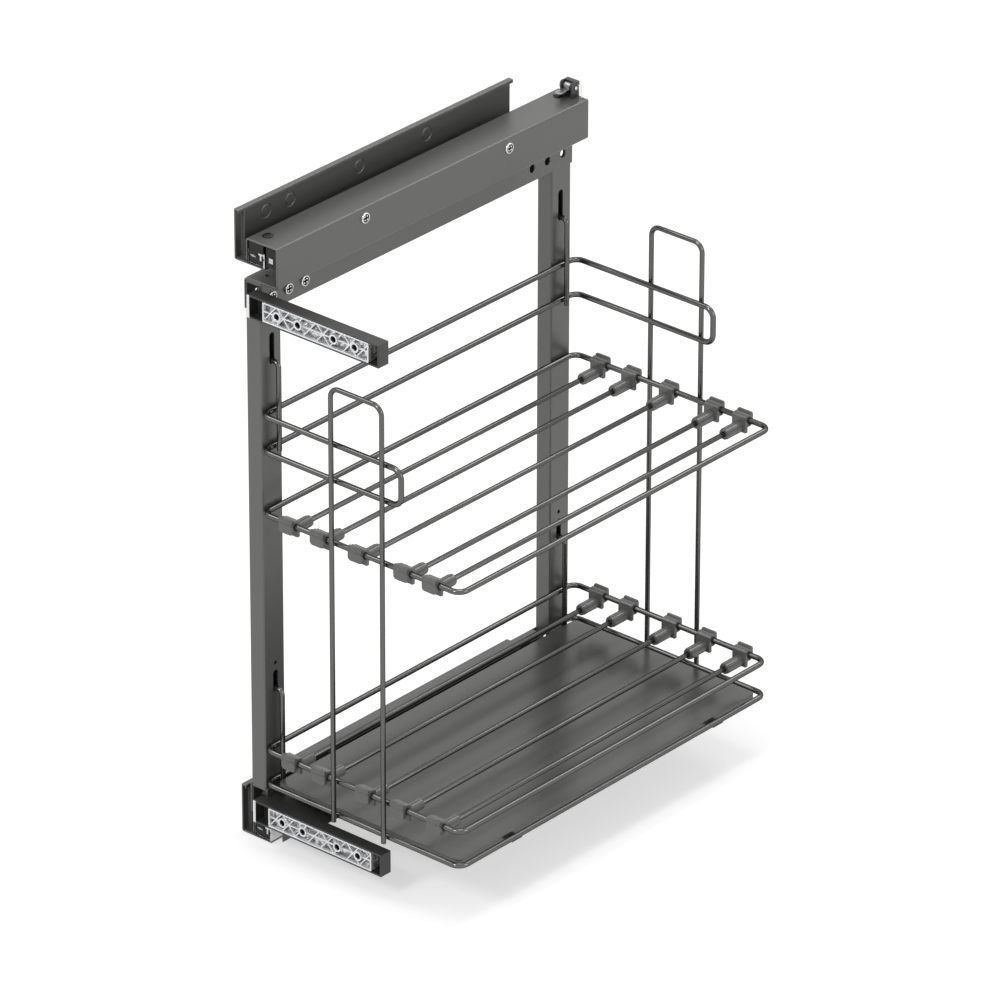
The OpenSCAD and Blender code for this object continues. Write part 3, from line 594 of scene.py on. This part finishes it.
def make_finishes():
    """All the rack's finishes, by the name of the part's material slot or of the finish itself."""
    look = bpy.context.scene.rack_finish
    satin = look.coat_roughness
    return {
        "anthracite": powder_coat("anthracite_coat", look.coat, satin, 0.1, 0.07, 0.45),
        "wire": wire_coat("wire_coat", look.wire, look.wire_roughness),
        "clip": moulded_plastic("clip_plastic", [c * 1.08 for c in look.clip], 0.22, 0.08),
        "black_steel": bracket_coat("bracket_coat", look.bracket, 0.36),
        "black_plastic": moulded_plastic("black_plastic", SLOTS["black_plastic"], 0.36, 0.1, 1.3),
        "cage": moulded_plastic("cage_plastic", SLOTS["cage"], 0.42),
        "zinc": rolled_metal("zinc_rail", look.zinc, 0.3, 1),
        "screw": screw_metal("plated_screw", SLOTS["screw"], 0.22),
        # Painted shade: the tray's coat is a copy of the anthracite coat at 0.86 of its colour; its
        # lower roughness and metal gloss are real.
        "tray_shaded_coat": powder_coat("tray_shaded_coat", [c * 0.86 for c in look.coat], 0.25, 0.06, 0.1, 0.5),
        "latch_coat": powder_coat("latch_coat", [c * 0.45 for c in look.coat], 0.3, 0.1, 0.1, 0.45),
        "latch": rolled_metal("latch_steel", SLOTS["latch"], 0.34, 1),
        "cast": cast_metal("cast_metal", look.cast, 0.26),
        "white_plastic": moulded_plastic("white_plastic", WHITE_MOULDING, 0.4),
    }


FINISH = {}


# Surfaces


def grid_quads(rows, columns, round_rows=False, first=0):
    """Quads between the points of a grid that is closed across its columns, row by row."""
    i = np.arange(rows if round_rows else rows - 1)[:, None]
    j = np.arange(columns)[None, :]
    after, beside = (i + 1) % rows, (j + 1) % columns
    corners = [i * columns + j, i * columns + beside, after * columns + beside, after * columns + j]
    return (np.stack(corners, -1).reshape(-1, 4) + first).tolist()


def wire_line(corners, bend, closed, steps):
    """Centre line of a wire bent square at its corners.

    A bend's point is c - bend cos(t) d2 + bend sin(t) d1 for t from 0 to 90 degrees,
    where d1 and d2 run into and out of the corner b, and c = b - bend d1 + bend d2.
    """
    corners = np.asarray(corners, float)
    t = np.linspace(0, math.pi / 2, steps + 1)[:, None]
    runs = [] if closed else [corners[:1]]
    for k in range(len(corners)) if closed else range(1, len(corners) - 1):
        a, b, c = corners[k - 1], corners[k], corners[(k + 1) % len(corners)]
        d1, d2 = (b - a) / np.linalg.norm(b - a), (c - b) / np.linalg.norm(c - b)
        centre = b - bend * d1 + bend * d2
        runs.append(centre - bend * np.cos(t) * d2 + bend * np.sin(t) * d1)
    if not closed:
        runs.append(corners[-1:])
    return np.vstack(runs)


def round_wire(line, radius, sides, closed=False, chamfer=0.5):
    """Round wire along a line, as (points, faces).

    Point (i, j) is line(i) + radius (cos a n + sin a b) with a = 360 j / sides degrees.
    n is a fixed skew direction made square to the line, b the cross product of line and n.
    Open ends are rounded over the chamfer by three smaller rings.
    """
    line = np.asarray(line, float)
    radii = np.full(len(line), float(radius))
    if not closed:
        a = np.array([math.pi / 2, math.pi / 4, 0])
        inset, less = chamfer * (1 - np.sin(a)), chamfer * (1 - np.cos(a))
        head = (line[1] - line[0]) / np.linalg.norm(line[1] - line[0])
        tail = (line[-2] - line[-1]) / np.linalg.norm(line[-2] - line[-1])
        start, end = line[0] + inset[:, None] * head, (line[-1] + inset[:, None] * tail)[::-1]
        line = np.vstack([start, line[1:-1], end])
        radii = np.concatenate([radius - less, radii[1:-1], (radius - less)[::-1]])
        tangent = np.gradient(line, axis=0)
    else:
        tangent = np.roll(line, -1, 0) - np.roll(line, 1, 0)
    tangent /= np.linalg.norm(tangent, axis=1, keepdims=True)
    skew = np.array([0.48, 0.62, 0.62])
    n = skew - (tangent @ skew)[:, None] * tangent
    n /= np.linalg.norm(n, axis=1, keepdims=True)
    b = np.cross(tangent, n)
    a = np.arange(sides) * 2 * math.pi / sides
    ring = np.cos(a)[None, :, None] * n[:, None, :] + np.sin(a)[None, :, None] * b[:, None, :]
    points = (line[:, None, :] + radii[:, None, None] * ring).reshape(-1, 3)
    faces = grid_quads(len(line), sides, closed)
    if not closed:
        last = (len(line) - 1) * sides
        faces += [list(range(sides))[::-1], list(range(last, last + sides))]
    return points, faces


def turned(profile, spokes, pocket=None, pocket_from=0):
    """Turned solid about +z, as (points, faces), from (radius, height) pairs, bottom to top.

    Point (i, j) is (r cos a, r sin a, h - pocket(x, y)) with a = 360 j / spokes degrees.
    The pocket lowers only the rows from pocket_from on. Both ends close in a centre point.
    """
    profile = np.asarray(profile, float)
    a = np.arange(spokes) * 2 * math.pi / spokes
    x, y = profile[:, :1] * np.cos(a), profile[:, :1] * np.sin(a)
    z = np.repeat(profile[:, 1:], spokes, 1)
    if pocket is not None:
        z[pocket_from:] -= pocket(x[pocket_from:], y[pocket_from:])
    rows = len(profile)
    ends = [(0, 0, z[0].mean()), (0, 0, z[-1].mean())]
    points = np.vstack([np.stack([x, y, z], -1).reshape(-1, 3), ends])
    faces = grid_quads(rows, spokes)
    j = np.arange(spokes)
    beside = (j + 1) % spokes
    first, last = rows * spokes, (rows - 1) * spokes
    faces += np.stack([beside, j, np.full(spokes, first)], -1).tolist()
    faces += np.stack([last + j, last + beside, np.full(spokes, first + 1)], -1).tolist()
    return points, faces


def prism(outline, y0, y1):
    """A flat outline of (x, z) pairs, counter-clockwise seen from -y, carried from y0 to y1."""
    outline = np.asarray(outline, float)
    count = len(outline)
    near, far = (
        np.column_stack([outline[:, 0], np.full(count, y), outline[:, 1]]) for y in (y0, y1)
    )
    j = np.arange(count)
    beside = (j + 1) % count
    sides = np.stack([beside, j, count + j, count + beside], -1).tolist()
    caps = [list(range(count)), list(range(count, 2 * count))[::-1]]
    return np.vstack([near, far]), [*caps, *sides]


def volume(points, faces):
    """Signed volume of a closed surface, from its faces cut in fans."""
    total = 0.0
    for size in {len(f) for f in faces}:
        corner = points[np.array([f for f in faces if len(f) == size])]
        for k in range(1, size - 1):
            total += np.einsum("ij,ij->", corner[:, 0], np.cross(corner[:, k], corner[:, k + 1]))
    return total / 6


def piece(name, shells, body, slot, replaced=(), finish=None, recess=None):
    """Joins closed shells in one mesh object that rides on a body and stands for its CAD nodes.

    Recess holds a number for each point, from 0 on plain metal to 1 in a groove or pocket, and sets
    the painted shade of the screw finish.
    """
    points, faces, first = [], [], 0
    for shell, quads in shells:
        if volume(shell, quads) <= 0:
            raise RuntimeError(f"{name} has a shell that is turned inside out")
        points.append(shell)
        faces += [[v + first for v in f] for f in quads]
        first += len(shell)
    mesh = bpy.data.meshes.new(name)
    mesh.from_pydata(place(np.vstack(points)).tolist(), [], faces)
    if recess is not None:
        mesh.attributes.new("recess", "FLOAT", "POINT").data.foreach_set("value", recess)
    mesh.shade_smooth()
    mesh.set_sharp_from_angle(angle=math.radians(42))
    return finished(name, mesh, body, slot, replaced, finish)


def finished(name, mesh, body, slot, replaced, finish=None):
    """Puts a mesh in the scene with its finish, body, slot and the nodes that it stands for."""
    mesh.materials.clear()
    mesh.materials.append(FINISH[finish or slot])
    made = bpy.data.objects.new(name, mesh)
    bpy.context.scene.collection.objects.link(made)
    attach(made, body)
    if replaced:
        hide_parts(*replaced)
    return made


def rounded_copy(node, width, joined=False, limit=32.0, clamped=False):
    """The node's own solid, merged, with rounded edges that catch the light.

    Joined also joins its flat faces first, which the long walls of the tubes need.
    Clamped keeps the rounding inside the shortest edges, which slots and saddles need.
    """
    source = NODES[node]
    mesh = bpy.data.meshes.new("dressed_" + node)
    shape = bmesh.new()
    shape.from_mesh(source.data)
    bmesh.ops.remove_doubles(shape, verts=shape.verts, dist=2e-6)
    if joined:
        bmesh.ops.dissolve_limit(
            shape, angle_limit=math.radians(0.4), verts=shape.verts, edges=shape.edges
        )
    shape.to_mesh(mesh)
    shape.free()
    mesh.shade_smooth()
    mesh.set_sharp_from_angle(angle=math.radians(limit))
    made = finished("dressed_" + node, mesh, source["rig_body"], NODE_SLOT[node], [node])
    if width > 0:
        bevel = made.modifiers.new("edge", "BEVEL")
        bevel.width = width
        bevel.segments = 2
        bevel.limit_method = "ANGLE"
        bevel.angle_limit = math.radians(limit)
        bevel.use_clamp_overlap = clamped
        bevel.loop_slide = False
    flat = made.modifiers.new("flats", "WEIGHTED_NORMAL")
    flat.mode = "FACE_AREA"
    flat.weight = 80
    flat.keep_sharp = True
    return made


# Operators


class RACK_OT_finishes(bpy.types.Operator):
    """Make every finish and give the CAD nodes theirs"""

    bl_idname = "rack.finishes"
    bl_label = "Finishes"

    def execute(self, context):
        FINISH.update(make_finishes())
        for name, made in NODES.items():
            made.data.materials.clear()
            made.data.materials.append(FINISH[NODE_SLOT[name]])
        return {"FINISHED"}


class RACK_OT_sheets(bpy.types.Operator):
    """Round the edges of the beams, crossbars, uprights, wall profiles and tray"""

    bl_idname = "rack.sheets"
    bl_label = "Coated sheets"

    def execute(self, context):
        width = context.scene.rack_sizes.fold_round
        for kind in ("wall_profile_", "beam_", "crossbar_"):
            for level in ("upper", "lower"):
                rounded_copy(kind + level, width)
        for node in ("upright_front", "upright_rear"):
            rounded_copy(node, width / 2, True, clamped=True)
        made = rounded_copy("tray_sheet", width * 0.8)
        made.data.materials[0] = FINISH["tray_shaded_coat"]
        return {"FINISHED"}


class RACK_OT_slides(bpy.types.Operator):
    """Round the edges of the rails, end caps and damper, copy the cages with smooth shading, and
    add the parts in the slide mouths
    """

    bl_idname = "rack.slides"
    bl_label = "Ball slides"

    def execute(self, context):
        width = context.scene.rack_sizes.small_round
        for level in ("upper", "lower"):
            for node in ("outer_rail_", "mid_rail_", "inner_rail_"):
                rounded_copy(node + level, width)
            for node in ("ball_cage_a_", "ball_cage_b_"):
                rounded_copy(node + level, 0, limit=40)
        rounded_copy("front_caps", width)
        rounded_copy("soft_close_housing", width * 1.5)
        rounded_copy("soft_close_damper", width)
        for level, drop in LEVELS:
            tee = prism(slide_tee(RAIL_X + TEE_OFF, TEE_TOP - drop), 0.05, 0.6)
            piece("slide_tee_" + level, [tee], "carriage", "zinc")
            # Painted highlight: the lens takes bright latch steel, standing for the gloss on the
            # black end cap.
            lens = slide_lens(RAIL_X + LENS_OFF, LENS_Z - drop)
            piece("slide_lens_" + level, [lens], "carriage", "latch")
            foot = prism(rail_foot(RAIL_X, RAIL_END_TOP - drop), -0.25, -0.02)
            piece("rail_end_" + level, [foot], "wall_side", "black_plastic")
        panes = [pane(x, z, PANE_W, PANE_H) for x in PANE_X for z in PANE_Z]
        squares = [prism(outline, 0.55, 1.05) for outline in panes]
        piece("damper_window", squares, "carriage", "black_plastic", (), "white_plastic")
        return {"FINISHED"}


def pane(x, z, wide, high):
    """Outline of a rectangle from its lower left corner."""
    return [(x, z), (x + wide, z), (x + wide, z + high), (x, z + high)]


def rail_foot(x, top):
    """Outline of an L round the middle x: a wall at its left, and a foot that runs to the right."""
    thick, low = RAIL_END_WALL, top - RAIL_END_H
    left, right = x - RAIL_END_W / 2, x + RAIL_END_W / 2 - thick
    return [
        (left, low),
        (right, low),
        (right, low + thick),
        (left + thick, low + thick),
        (left + thick, top),
        (left, top),
    ]


def slide_lens(x, z):
    """A low elliptic button on the slide's end cap, with its crown to the front."""
    points, faces = turned(button_profile(LENS_R, 0.2, LENS_HIGH), 40)
    points = (points * (1.0, LENS_FLAT, 1.0))[:, [0, 2, 1]] * (1, -1, 1)
    return points + (x, 0.5, z), faces


def slide_tee(x, top):
    """Outline of a T seen from the front, with its bar's and its stem's half widths."""
    bar, stem = TEE_BAR, TEE_STEM
    low, under = top - TEE_DEEP, top - TEE_THICK
    return [
        (x - stem, low),
        (x + stem, low),
        (x + stem, under),
        (x + bar, under),
        (x + bar, top),
        (x - bar, top),
        (x - bar, under),
        (x - stem, under),
    ]


def button_profile(radius, edge, height):
    """Profile of a low button: flat below, a short wall and a quarter ellipse to the top."""
    t = np.linspace(0, math.pi / 2, 9)[:-1]
    crown = np.column_stack([radius * np.cos(t), edge + (height - edge) * np.sin(t)])
    return np.vstack([[radius * 0.5, 0], [radius, 0], crown, [radius * 0.06, height]])


class RACK_OT_wires(bpy.types.Operator):
    """Bend the gallery, the frames, the rim, the loops and the hooks from round wire"""

    bl_idname = "rack.wires"
    bl_label = "Basket wires"

    def execute(self, context):
        sizes = context.scene.rack_sizes
        sides, steps = sizes.wire_sides, sizes.bend_steps
        far_x, far_leg = BACK_X + BASKET_W, LOOP_X + LOOP_W
        for node, z in (
            ("divider_frame_upper", UPPER_Z),
            ("divider_frame_lower", LOWER_Z),
            ("tray_rim", RIM_Z),
        ):
            corners = [
                (BACK_X, FRONT_Y, z),
                (far_x, FRONT_Y, z),
                (far_x, REAR_Y, z),
                (BACK_X, REAR_Y, z),
            ]
            ring = round_wire(wire_line(corners, BEND, True, steps), WIRE_R, sides, True)
            piece("wire_" + node, [ring], "carriage", "wire", [node])
        a, b, low = BACK_X, BACK_X + GALLERY_ARM, GALLERY_Z - GALLERY_H
        corners = [
            (b, FRONT_Y, GALLERY_Z),
            (a, FRONT_Y, GALLERY_Z),
            (a, REAR_Y, GALLERY_Z),
            (b, REAR_Y, GALLERY_Z),
            (b, REAR_Y, low),
            (a, REAR_Y, low),
            (a, FRONT_Y, low),
            (b, FRONT_Y, low),
        ]
        ring = round_wire(wire_line(corners, BEND, True, steps), WIRE_R, sides, True)
        piece("wire_gallery", [ring], "carriage", "wire", ["gallery"])
        for node, y in (("loop_front", FRONT_Y - LOOP_OFF), ("loop_rear", REAR_Y + LOOP_OFF)):
            corners = [
                (LOOP_X, y, LOOP_LOW),
                (LOOP_X, y, LOOP_TOP),
                (far_leg, y, LOOP_TOP),
                (far_leg, y, LOOP_LOW),
            ]
            legs = round_wire(wire_line(corners, BEND, False, steps), LOOP_R, sides)
            piece("wire_" + node, [legs], "carriage", "wire", [node])
        hooks = []
        for y in HOOK_Y:
            for top, low in HOOKS:
                corners = [
                    (HOOK_X, y, low),
                    (HOOK_X, y, top),
                    (HOOK_IN_X, y, top),
                    (HOOK_IN_X, y, top - HOOK_TIP),
                ]
                hooks.append(round_wire(wire_line(corners, HOOK_BEND, False, steps), LOOP_R, sides))
        piece("wire_hooks", hooks, "carriage", "wire", ["hook_wires"])
        return {"FINISHED"}


def weld(centre, across, length):
    """A pressed weld between two crossed wires: an ellipsoid, flat along the axis `across`."""
    t = np.linspace(-math.pi / 2, math.pi / 2, 9)[1:-1]
    points, faces = turned(np.column_stack([np.cos(t), np.sin(t)]), 14)
    half = np.full(3, length / 2)
    half[across] = length * 0.24
    return points * half + np.asarray(centre, float), faces


class RACK_OT_welds(bpy.types.Operator):
    """Join the crossing wires with small pressed welds"""

    bl_idname = "rack.welds"
    bl_label = "Wire welds"

    def execute(self, context):
        length = context.scene.rack_sizes.weld_length * 1000
        levels = (GALLERY_Z, GALLERY_Z - GALLERY_H, UPPER_Z, LOWER_Z, RIM_Z)
        welds = []
        for x in (LOOP_X, LOOP_X + LOOP_W):
            for z in levels:
                welds.append(weld((x, FRONT_Y - WIRE_R, z), 1, length))
                welds.append(weld((x, REAR_Y + WIRE_R, z), 1, length))
        for y in HOOK_Y:
            for z in (levels[0], levels[1], levels[3], levels[4]):
                welds.append(weld((BACK_X + WIRE_R, y, z), 0, length))
        piece("wire_welds", welds, "carriage", "wire")
        return {"FINISHED"}


class RACK_OT_dividers(bpy.types.Operator):
    """Make the ten divider rods and round the edges of their clips, with ridges on the saddles"""

    bl_idname = "rack.dividers"
    bl_label = "Dividers"

    def execute(self, context):
        sides = context.scene.rack_sizes.wire_sides
        width = context.scene.rack_sizes.small_round
        for level, height in (("upper", UPPER_Z), ("lower", LOWER_Z)):
            for number in range(1, 6):
                node = f"rod_{level}_{number}"
                low, high = (np.array(corner) * 1000 - ROW_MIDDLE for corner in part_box(node))
                x, z = (low[0] + high[0]) / 2, (low[2] + high[2]) / 2
                rod = round_wire([(x, low[1], z), (x, high[1], z)], ROD_R, sides)
                piece(node + "_bar", [rod], NODES[node]["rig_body"], "wire", [node])
                rounded_copy(f"clips_{level}_{number}", width * 0.8, clamped=True)
                reach = CLIP_W / 2 - RIDGE_INSET
                ridges = []
                for wire_y, out in ((FRONT_Y, -1), (REAR_Y, 1)):
                    for off, up in RIDGES:
                        y, z = wire_y + out * off, height + up
                        ends = [(x - reach, y, z), (x + reach, y, z)]
                        ridges.append(round_wire(ends, RIDGE_R, 12, chamfer=0.3))
                piece(f"ridges_{level}_{number}", ridges, NODES[node]["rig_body"], "clip")
        return {"FINISHED"}


def cross_pocket(reach, half, depth):
    """A cross recess: full depth where |x| or |y| is under half, within the reach."""

    def pocket(x, y):
        near = np.minimum(np.abs(x), np.abs(y))
        radius = np.hypot(x, y)
        slope = np.clip((half - near) / 0.18 + 0.5, 0, 1)
        return depth * slope * np.clip((reach - radius) / 0.5, 0, 1)

    return pocket


def hex_pocket(across, depth):
    """A hexagon recess: full depth where the largest of three reaches is under half of across."""

    def pocket(x, y):
        angles = (0, math.pi / 3, 2 * math.pi / 3)
        far = np.max([np.abs(x * math.cos(a) + y * math.sin(a)) for a in angles], axis=0)
        return depth * np.clip((across / 2 - far) / 0.12 + 0.5, 0, 1)

    return pocket


class RACK_OT_screws(bpy.types.Operator):
    """Turn the bright pan head screws and the black domed screws, each with its drive"""

    bl_idname = "rack.screws"
    bl_label = "Screws"

    def execute(self, context):
        heads, recess = [], []
        for origins, shank, length in ((WEB_SCREWS, 1.9, 3.4), (BAR_SCREWS, 2.4, 5.0)):
            points, faces, depth = pan_head(shank, length)
            heads += [(points + origin, faces) for origin in origins]
            recess += [depth] * len(origins)
        depths = np.concatenate(recess)
        piece("pan_head_screws", heads, "carriage", "screw", ["pan_screws"], None, depths)
        points, faces = dome_head()
        domes = [(points + origin, faces) for origin in DOME_SCREWS]
        piece("domed_screws", domes, "carriage", "black_steel", ["dome_screws"], "black_plastic")
        return {"FINISHED"}


def pan_head(shank, length):
    """A pan head screw along +x, as (points, faces, depth), with depth from 0 to 1 in its recess.

    The head's rim is a quarter circle. Its face has a ring groove, a slightly lower field inside
    the groove, and a cross. Depth rises from 0 to 1 from 0.28 to 0.58 mm under the face; the
    screw finish paints shade there by it.
    """
    t = np.linspace(0, math.pi / 2, 6)
    edge = HEAD_R - PAN_RIM
    rim = np.column_stack([edge + PAN_RIM * np.cos(t), PAN_H - PAN_RIM + PAN_RIM * np.sin(t)])
    inner = np.linspace(edge - 0.05, CENTRE_R, 32)
    groove = GROOVE_DEEP * np.clip((0.55 - np.abs(inner - GROOVE_R)) / 0.2, 0, 1)
    crown = np.column_stack([inner, PAN_H - groove - FIELD_DEEP * (inner < FIELD_R)])
    stem = head_stem(shank, length)
    profile = np.vstack([stem, rim, crown])
    points, faces = turned(profile, 84, cross_pocket(2.7, 0.75, 1.5), len(stem) + len(rim))
    face = (np.hypot(points[:, 0], points[:, 1]) < edge - 0.1) * (points[:, 2] > 0)
    depth = np.clip((PAN_H - 0.28 - points[:, 2]) / 0.3, 0, 1) * face
    return points[:, [2, 0, 1]], faces, depth


def dome_head():
    """A domed screw along +z, as (points, faces): a cap of a sphere with a hexagon recess.

    The crown's height is sqrt(R^2 - r^2) less the drop of the sphere's centre under the seat.
    """
    edge = np.linspace(HEAD_R, CENTRE_R, 34)
    crown = np.column_stack([edge, np.sqrt(DOME_R**2 - edge**2) - DOME_DROP])
    stem = head_stem(1.95, 7)
    return turned(np.vstack([stem, crown]), 60, hex_pocket(3.4, 0.95), len(stem) + 1)


def head_stem(shank, length):
    """Profile of a screw's shank, from its tip to the outer edge of its seat."""
    return [[0.5, -length], [shank, -length], [shank, SEAT_GAP], [HEAD_R, SEAT_GAP]]


class RACK_OT_door_brackets(bpy.types.Operator):
    """Round the edges of the door brackets and their cast inserts"""

    bl_idname = "rack.door_brackets"
    bl_label = "Door brackets"

    def execute(self, context):
        sizes = context.scene.rack_sizes
        for level in ("upper", "lower"):
            rounded_copy("door_bracket_" + level, sizes.fold_round)
            rounded_copy("door_insert_" + level, sizes.small_round * 0.6)
        return {"FINISHED"}


class RACK_OT_latch(bpy.types.Operator):
    """Round the edges of the rear latch and bend its spring"""

    bl_idname = "rack.latch"
    bl_label = "Rear latch"

    def execute(self, context):
        sizes = context.scene.rack_sizes
        bracket = rounded_copy("latch_bracket", sizes.small_round)
        bracket.data.materials[0] = FINISH["latch_coat"]
        for node in ("latch_lever", "latch_pin"):
            rounded_copy(node, sizes.small_round)
        y, (left, right) = SPRING_Y, SPRING_LEGS_X
        top = SPRING_Z + 2
        corners = [
            (left, y, SPRING_FOOT_Z + 0.28),
            (left, y, top),
            (right, y, top),
            (right, y, SPRING_FOOT_Z),
            (SPRING_FOOT_X, y, SPRING_FOOT_Z),
        ]
        legs = round_wire(wire_line(corners, SPRING_BEND, False, 8), SPRING_R, 14, chamfer=0.1)
        reach = [(SPRING_ARM_X, y, SPRING_Z), (left, y, SPRING_Z)]
        arm = round_wire(reach, SPRING_R, 14, chamfer=0.1)
        piece("latch_spring_wire", [legs, arm], "carriage", "screw", ["latch_spring"])
        return {"FINISHED"}


def camera_turn(azimuth, elevation, roll):
    """Turn of a camera that looks along -(sin a cos e, -cos a cos e, sin e), rolled by rho.

    Its axes are r' = cos(rho) r + sin(rho) u, u' = -sin(rho) r + cos(rho) u, and -forward.
    """
    back = Vector(
        (
            math.sin(azimuth) * math.cos(elevation),
            -math.cos(azimuth) * math.cos(elevation),
            math.sin(elevation),
        )
    )
    right = (-back).cross(Vector((0, 0, 1))).normalized()
    up = right.cross(-back)
    turned_right = math.cos(roll) * right + math.sin(roll) * up
    turned_up = -math.sin(roll) * right + math.cos(roll) * up
    return Matrix((turned_right, turned_up, back)).transposed()


def soft_lamp(name, place_at, size, watts):
    """A square soft lamp at a place, turned to the point that all lamps aim at."""
    data = bpy.data.lights.new(name, "AREA")
    data.shape = "SQUARE"
    data.size = size
    data.energy = watts
    lamp = bpy.data.objects.new(name, data)
    bpy.context.scene.collection.objects.link(lamp)
    lamp.location = place_at
    lamp.rotation_euler = (Vector(SIGHT) - Vector(place_at)).to_track_quat("-Z", "Y").to_euler()


def pale_floor(shade):
    """A plain pale floor under the rack, white to the camera, that keeps the rack's shadow."""
    low = CAD_BOX[0][2] - FLOOR_DROP
    mesh = bpy.data.meshes.new("floor")
    square = pane(-FLOOR_HALF, -FLOOR_HALF, 2 * FLOOR_HALF, 2 * FLOOR_HALF)
    corners = [(x, y, low) for x, y in square]
    mesh.from_pydata(corners, [], [(0, 1, 2, 3)])
    material, tree = new_material("floor_paper")
    fibre = noise(tree, object_point(tree), 900.0, 2.0)
    linked = {
        "Base Color": tinted(tree, fibre, [c * 0.985 for c in shade], shade),
        "Emission Color": tinted(tree, behind_the_rack(tree), [0.0] * 3, [FLOOR_GLOW] * 3),
    }
    plain = {"Roughness": 0.9, "Emission Strength": 1.0, "Specular IOR Level": 0.1}
    surface(tree, plain, linked)
    mesh.materials.append(material)
    floor = bpy.data.objects.new("floor", mesh)
    bpy.context.scene.collection.objects.link(floor)


def white_surround(sky):
    """A world that shows white behind the rack and lights it evenly at the sky strength."""
    world = bpy.data.worlds.new("surround")
    world.use_nodes = True
    world.node_tree.nodes.clear()
    tree = Value(world.node_tree)
    inputs = {"Color": (1, 1, 1, 1), "Strength": behind_the_rack(tree) * (1 - sky) + sky}
    light = tree.node("ShaderNodeBackground", None, inputs)
    tree.node("ShaderNodeOutputWorld", None, {"Surface": light})
    return world


class RACK_OT_studio(bpy.types.Operator):
    """Set the camera, the pale floor, the white surround and the soft lamps"""

    bl_idname = "rack.studio"
    bl_label = "Studio"

    def execute(self, context):
        scene = context.scene
        studio = scene.rack_studio
        data = bpy.data.cameras.new("camera")
        data.lens = studio.lens
        data.sensor_width = 36
        camera = bpy.data.objects.new("camera", data)
        scene.collection.objects.link(camera)
        turn = camera_turn(studio.camera_azimuth, studio.camera_elevation, studio.camera_roll)
        camera.matrix_world = Matrix.Translation(studio.camera_place) @ turn.to_4x4()
        scene.camera = camera
        pale_floor(studio.floor_shade)
        scene.world = white_surround(studio.sky)
        rim = studio.rim_watts
        powers = (rim, rim, studio.key_watts, studio.fill_watts, studio.top_watts)
        for (name, place_at, size), watts in zip(LAMPS, powers):
            soft_lamp(name, place_at, size, watts)
        scene.view_settings.view_transform = "Standard"
        return {"FINISHED"}


class RACK_PT_panel(bpy.types.Panel):
    """Lists the steps that dress the rack, with their sizes and colours"""

    bl_idname = "RACK_PT_panel"
    bl_label = "Tray Rack"
    bl_space_type = "VIEW_3D"
    bl_region_type = "UI"
    bl_category = "Tray Rack"

    def draw(self, context):
        for step in STEPS:
            self.layout.operator(step.bl_idname)
        scene = context.scene
        for group in (scene.rack_sizes, scene.rack_finish, scene.rack_studio):
            box = self.layout.box()
            for name in group.bl_rna.properties.keys():
                if name not in ("name", "rna_type"):
                    box.prop(group, name)


GROUPS = (RackSizes, RackFinish, RackStudio)
STEPS = (
    RACK_OT_finishes,
    RACK_OT_sheets,
    RACK_OT_slides,
    RACK_OT_wires,
    RACK_OT_welds,
    RACK_OT_dividers,
    RACK_OT_screws,
    RACK_OT_door_brackets,
    RACK_OT_latch,
    RACK_OT_studio,
)


def register():
    """Registers the classes and hangs the three groups on the scene."""
    for kind in (*GROUPS, *STEPS, RACK_PT_panel):
        bpy.utils.register_class(kind)
    bpy.types.Scene.rack_sizes = PointerProperty(type=RackSizes)
    bpy.types.Scene.rack_finish = PointerProperty(type=RackFinish)
    bpy.types.Scene.rack_studio = PointerProperty(type=RackStudio)


def unregister():
    """Takes the groups off the scene and the classes out again."""
    del bpy.types.Scene.rack_studio
    del bpy.types.Scene.rack_finish
    del bpy.types.Scene.rack_sizes
    for kind in reversed((*GROUPS, *STEPS, RACK_PT_panel)):
        bpy.utils.unregister_class(kind)


def main():
    """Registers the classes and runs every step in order."""
    register()
    for step in STEPS:
        getattr(bpy.ops.rack, step.bl_idname.split(".")[1])()


if __name__ == "__main__":
    main()
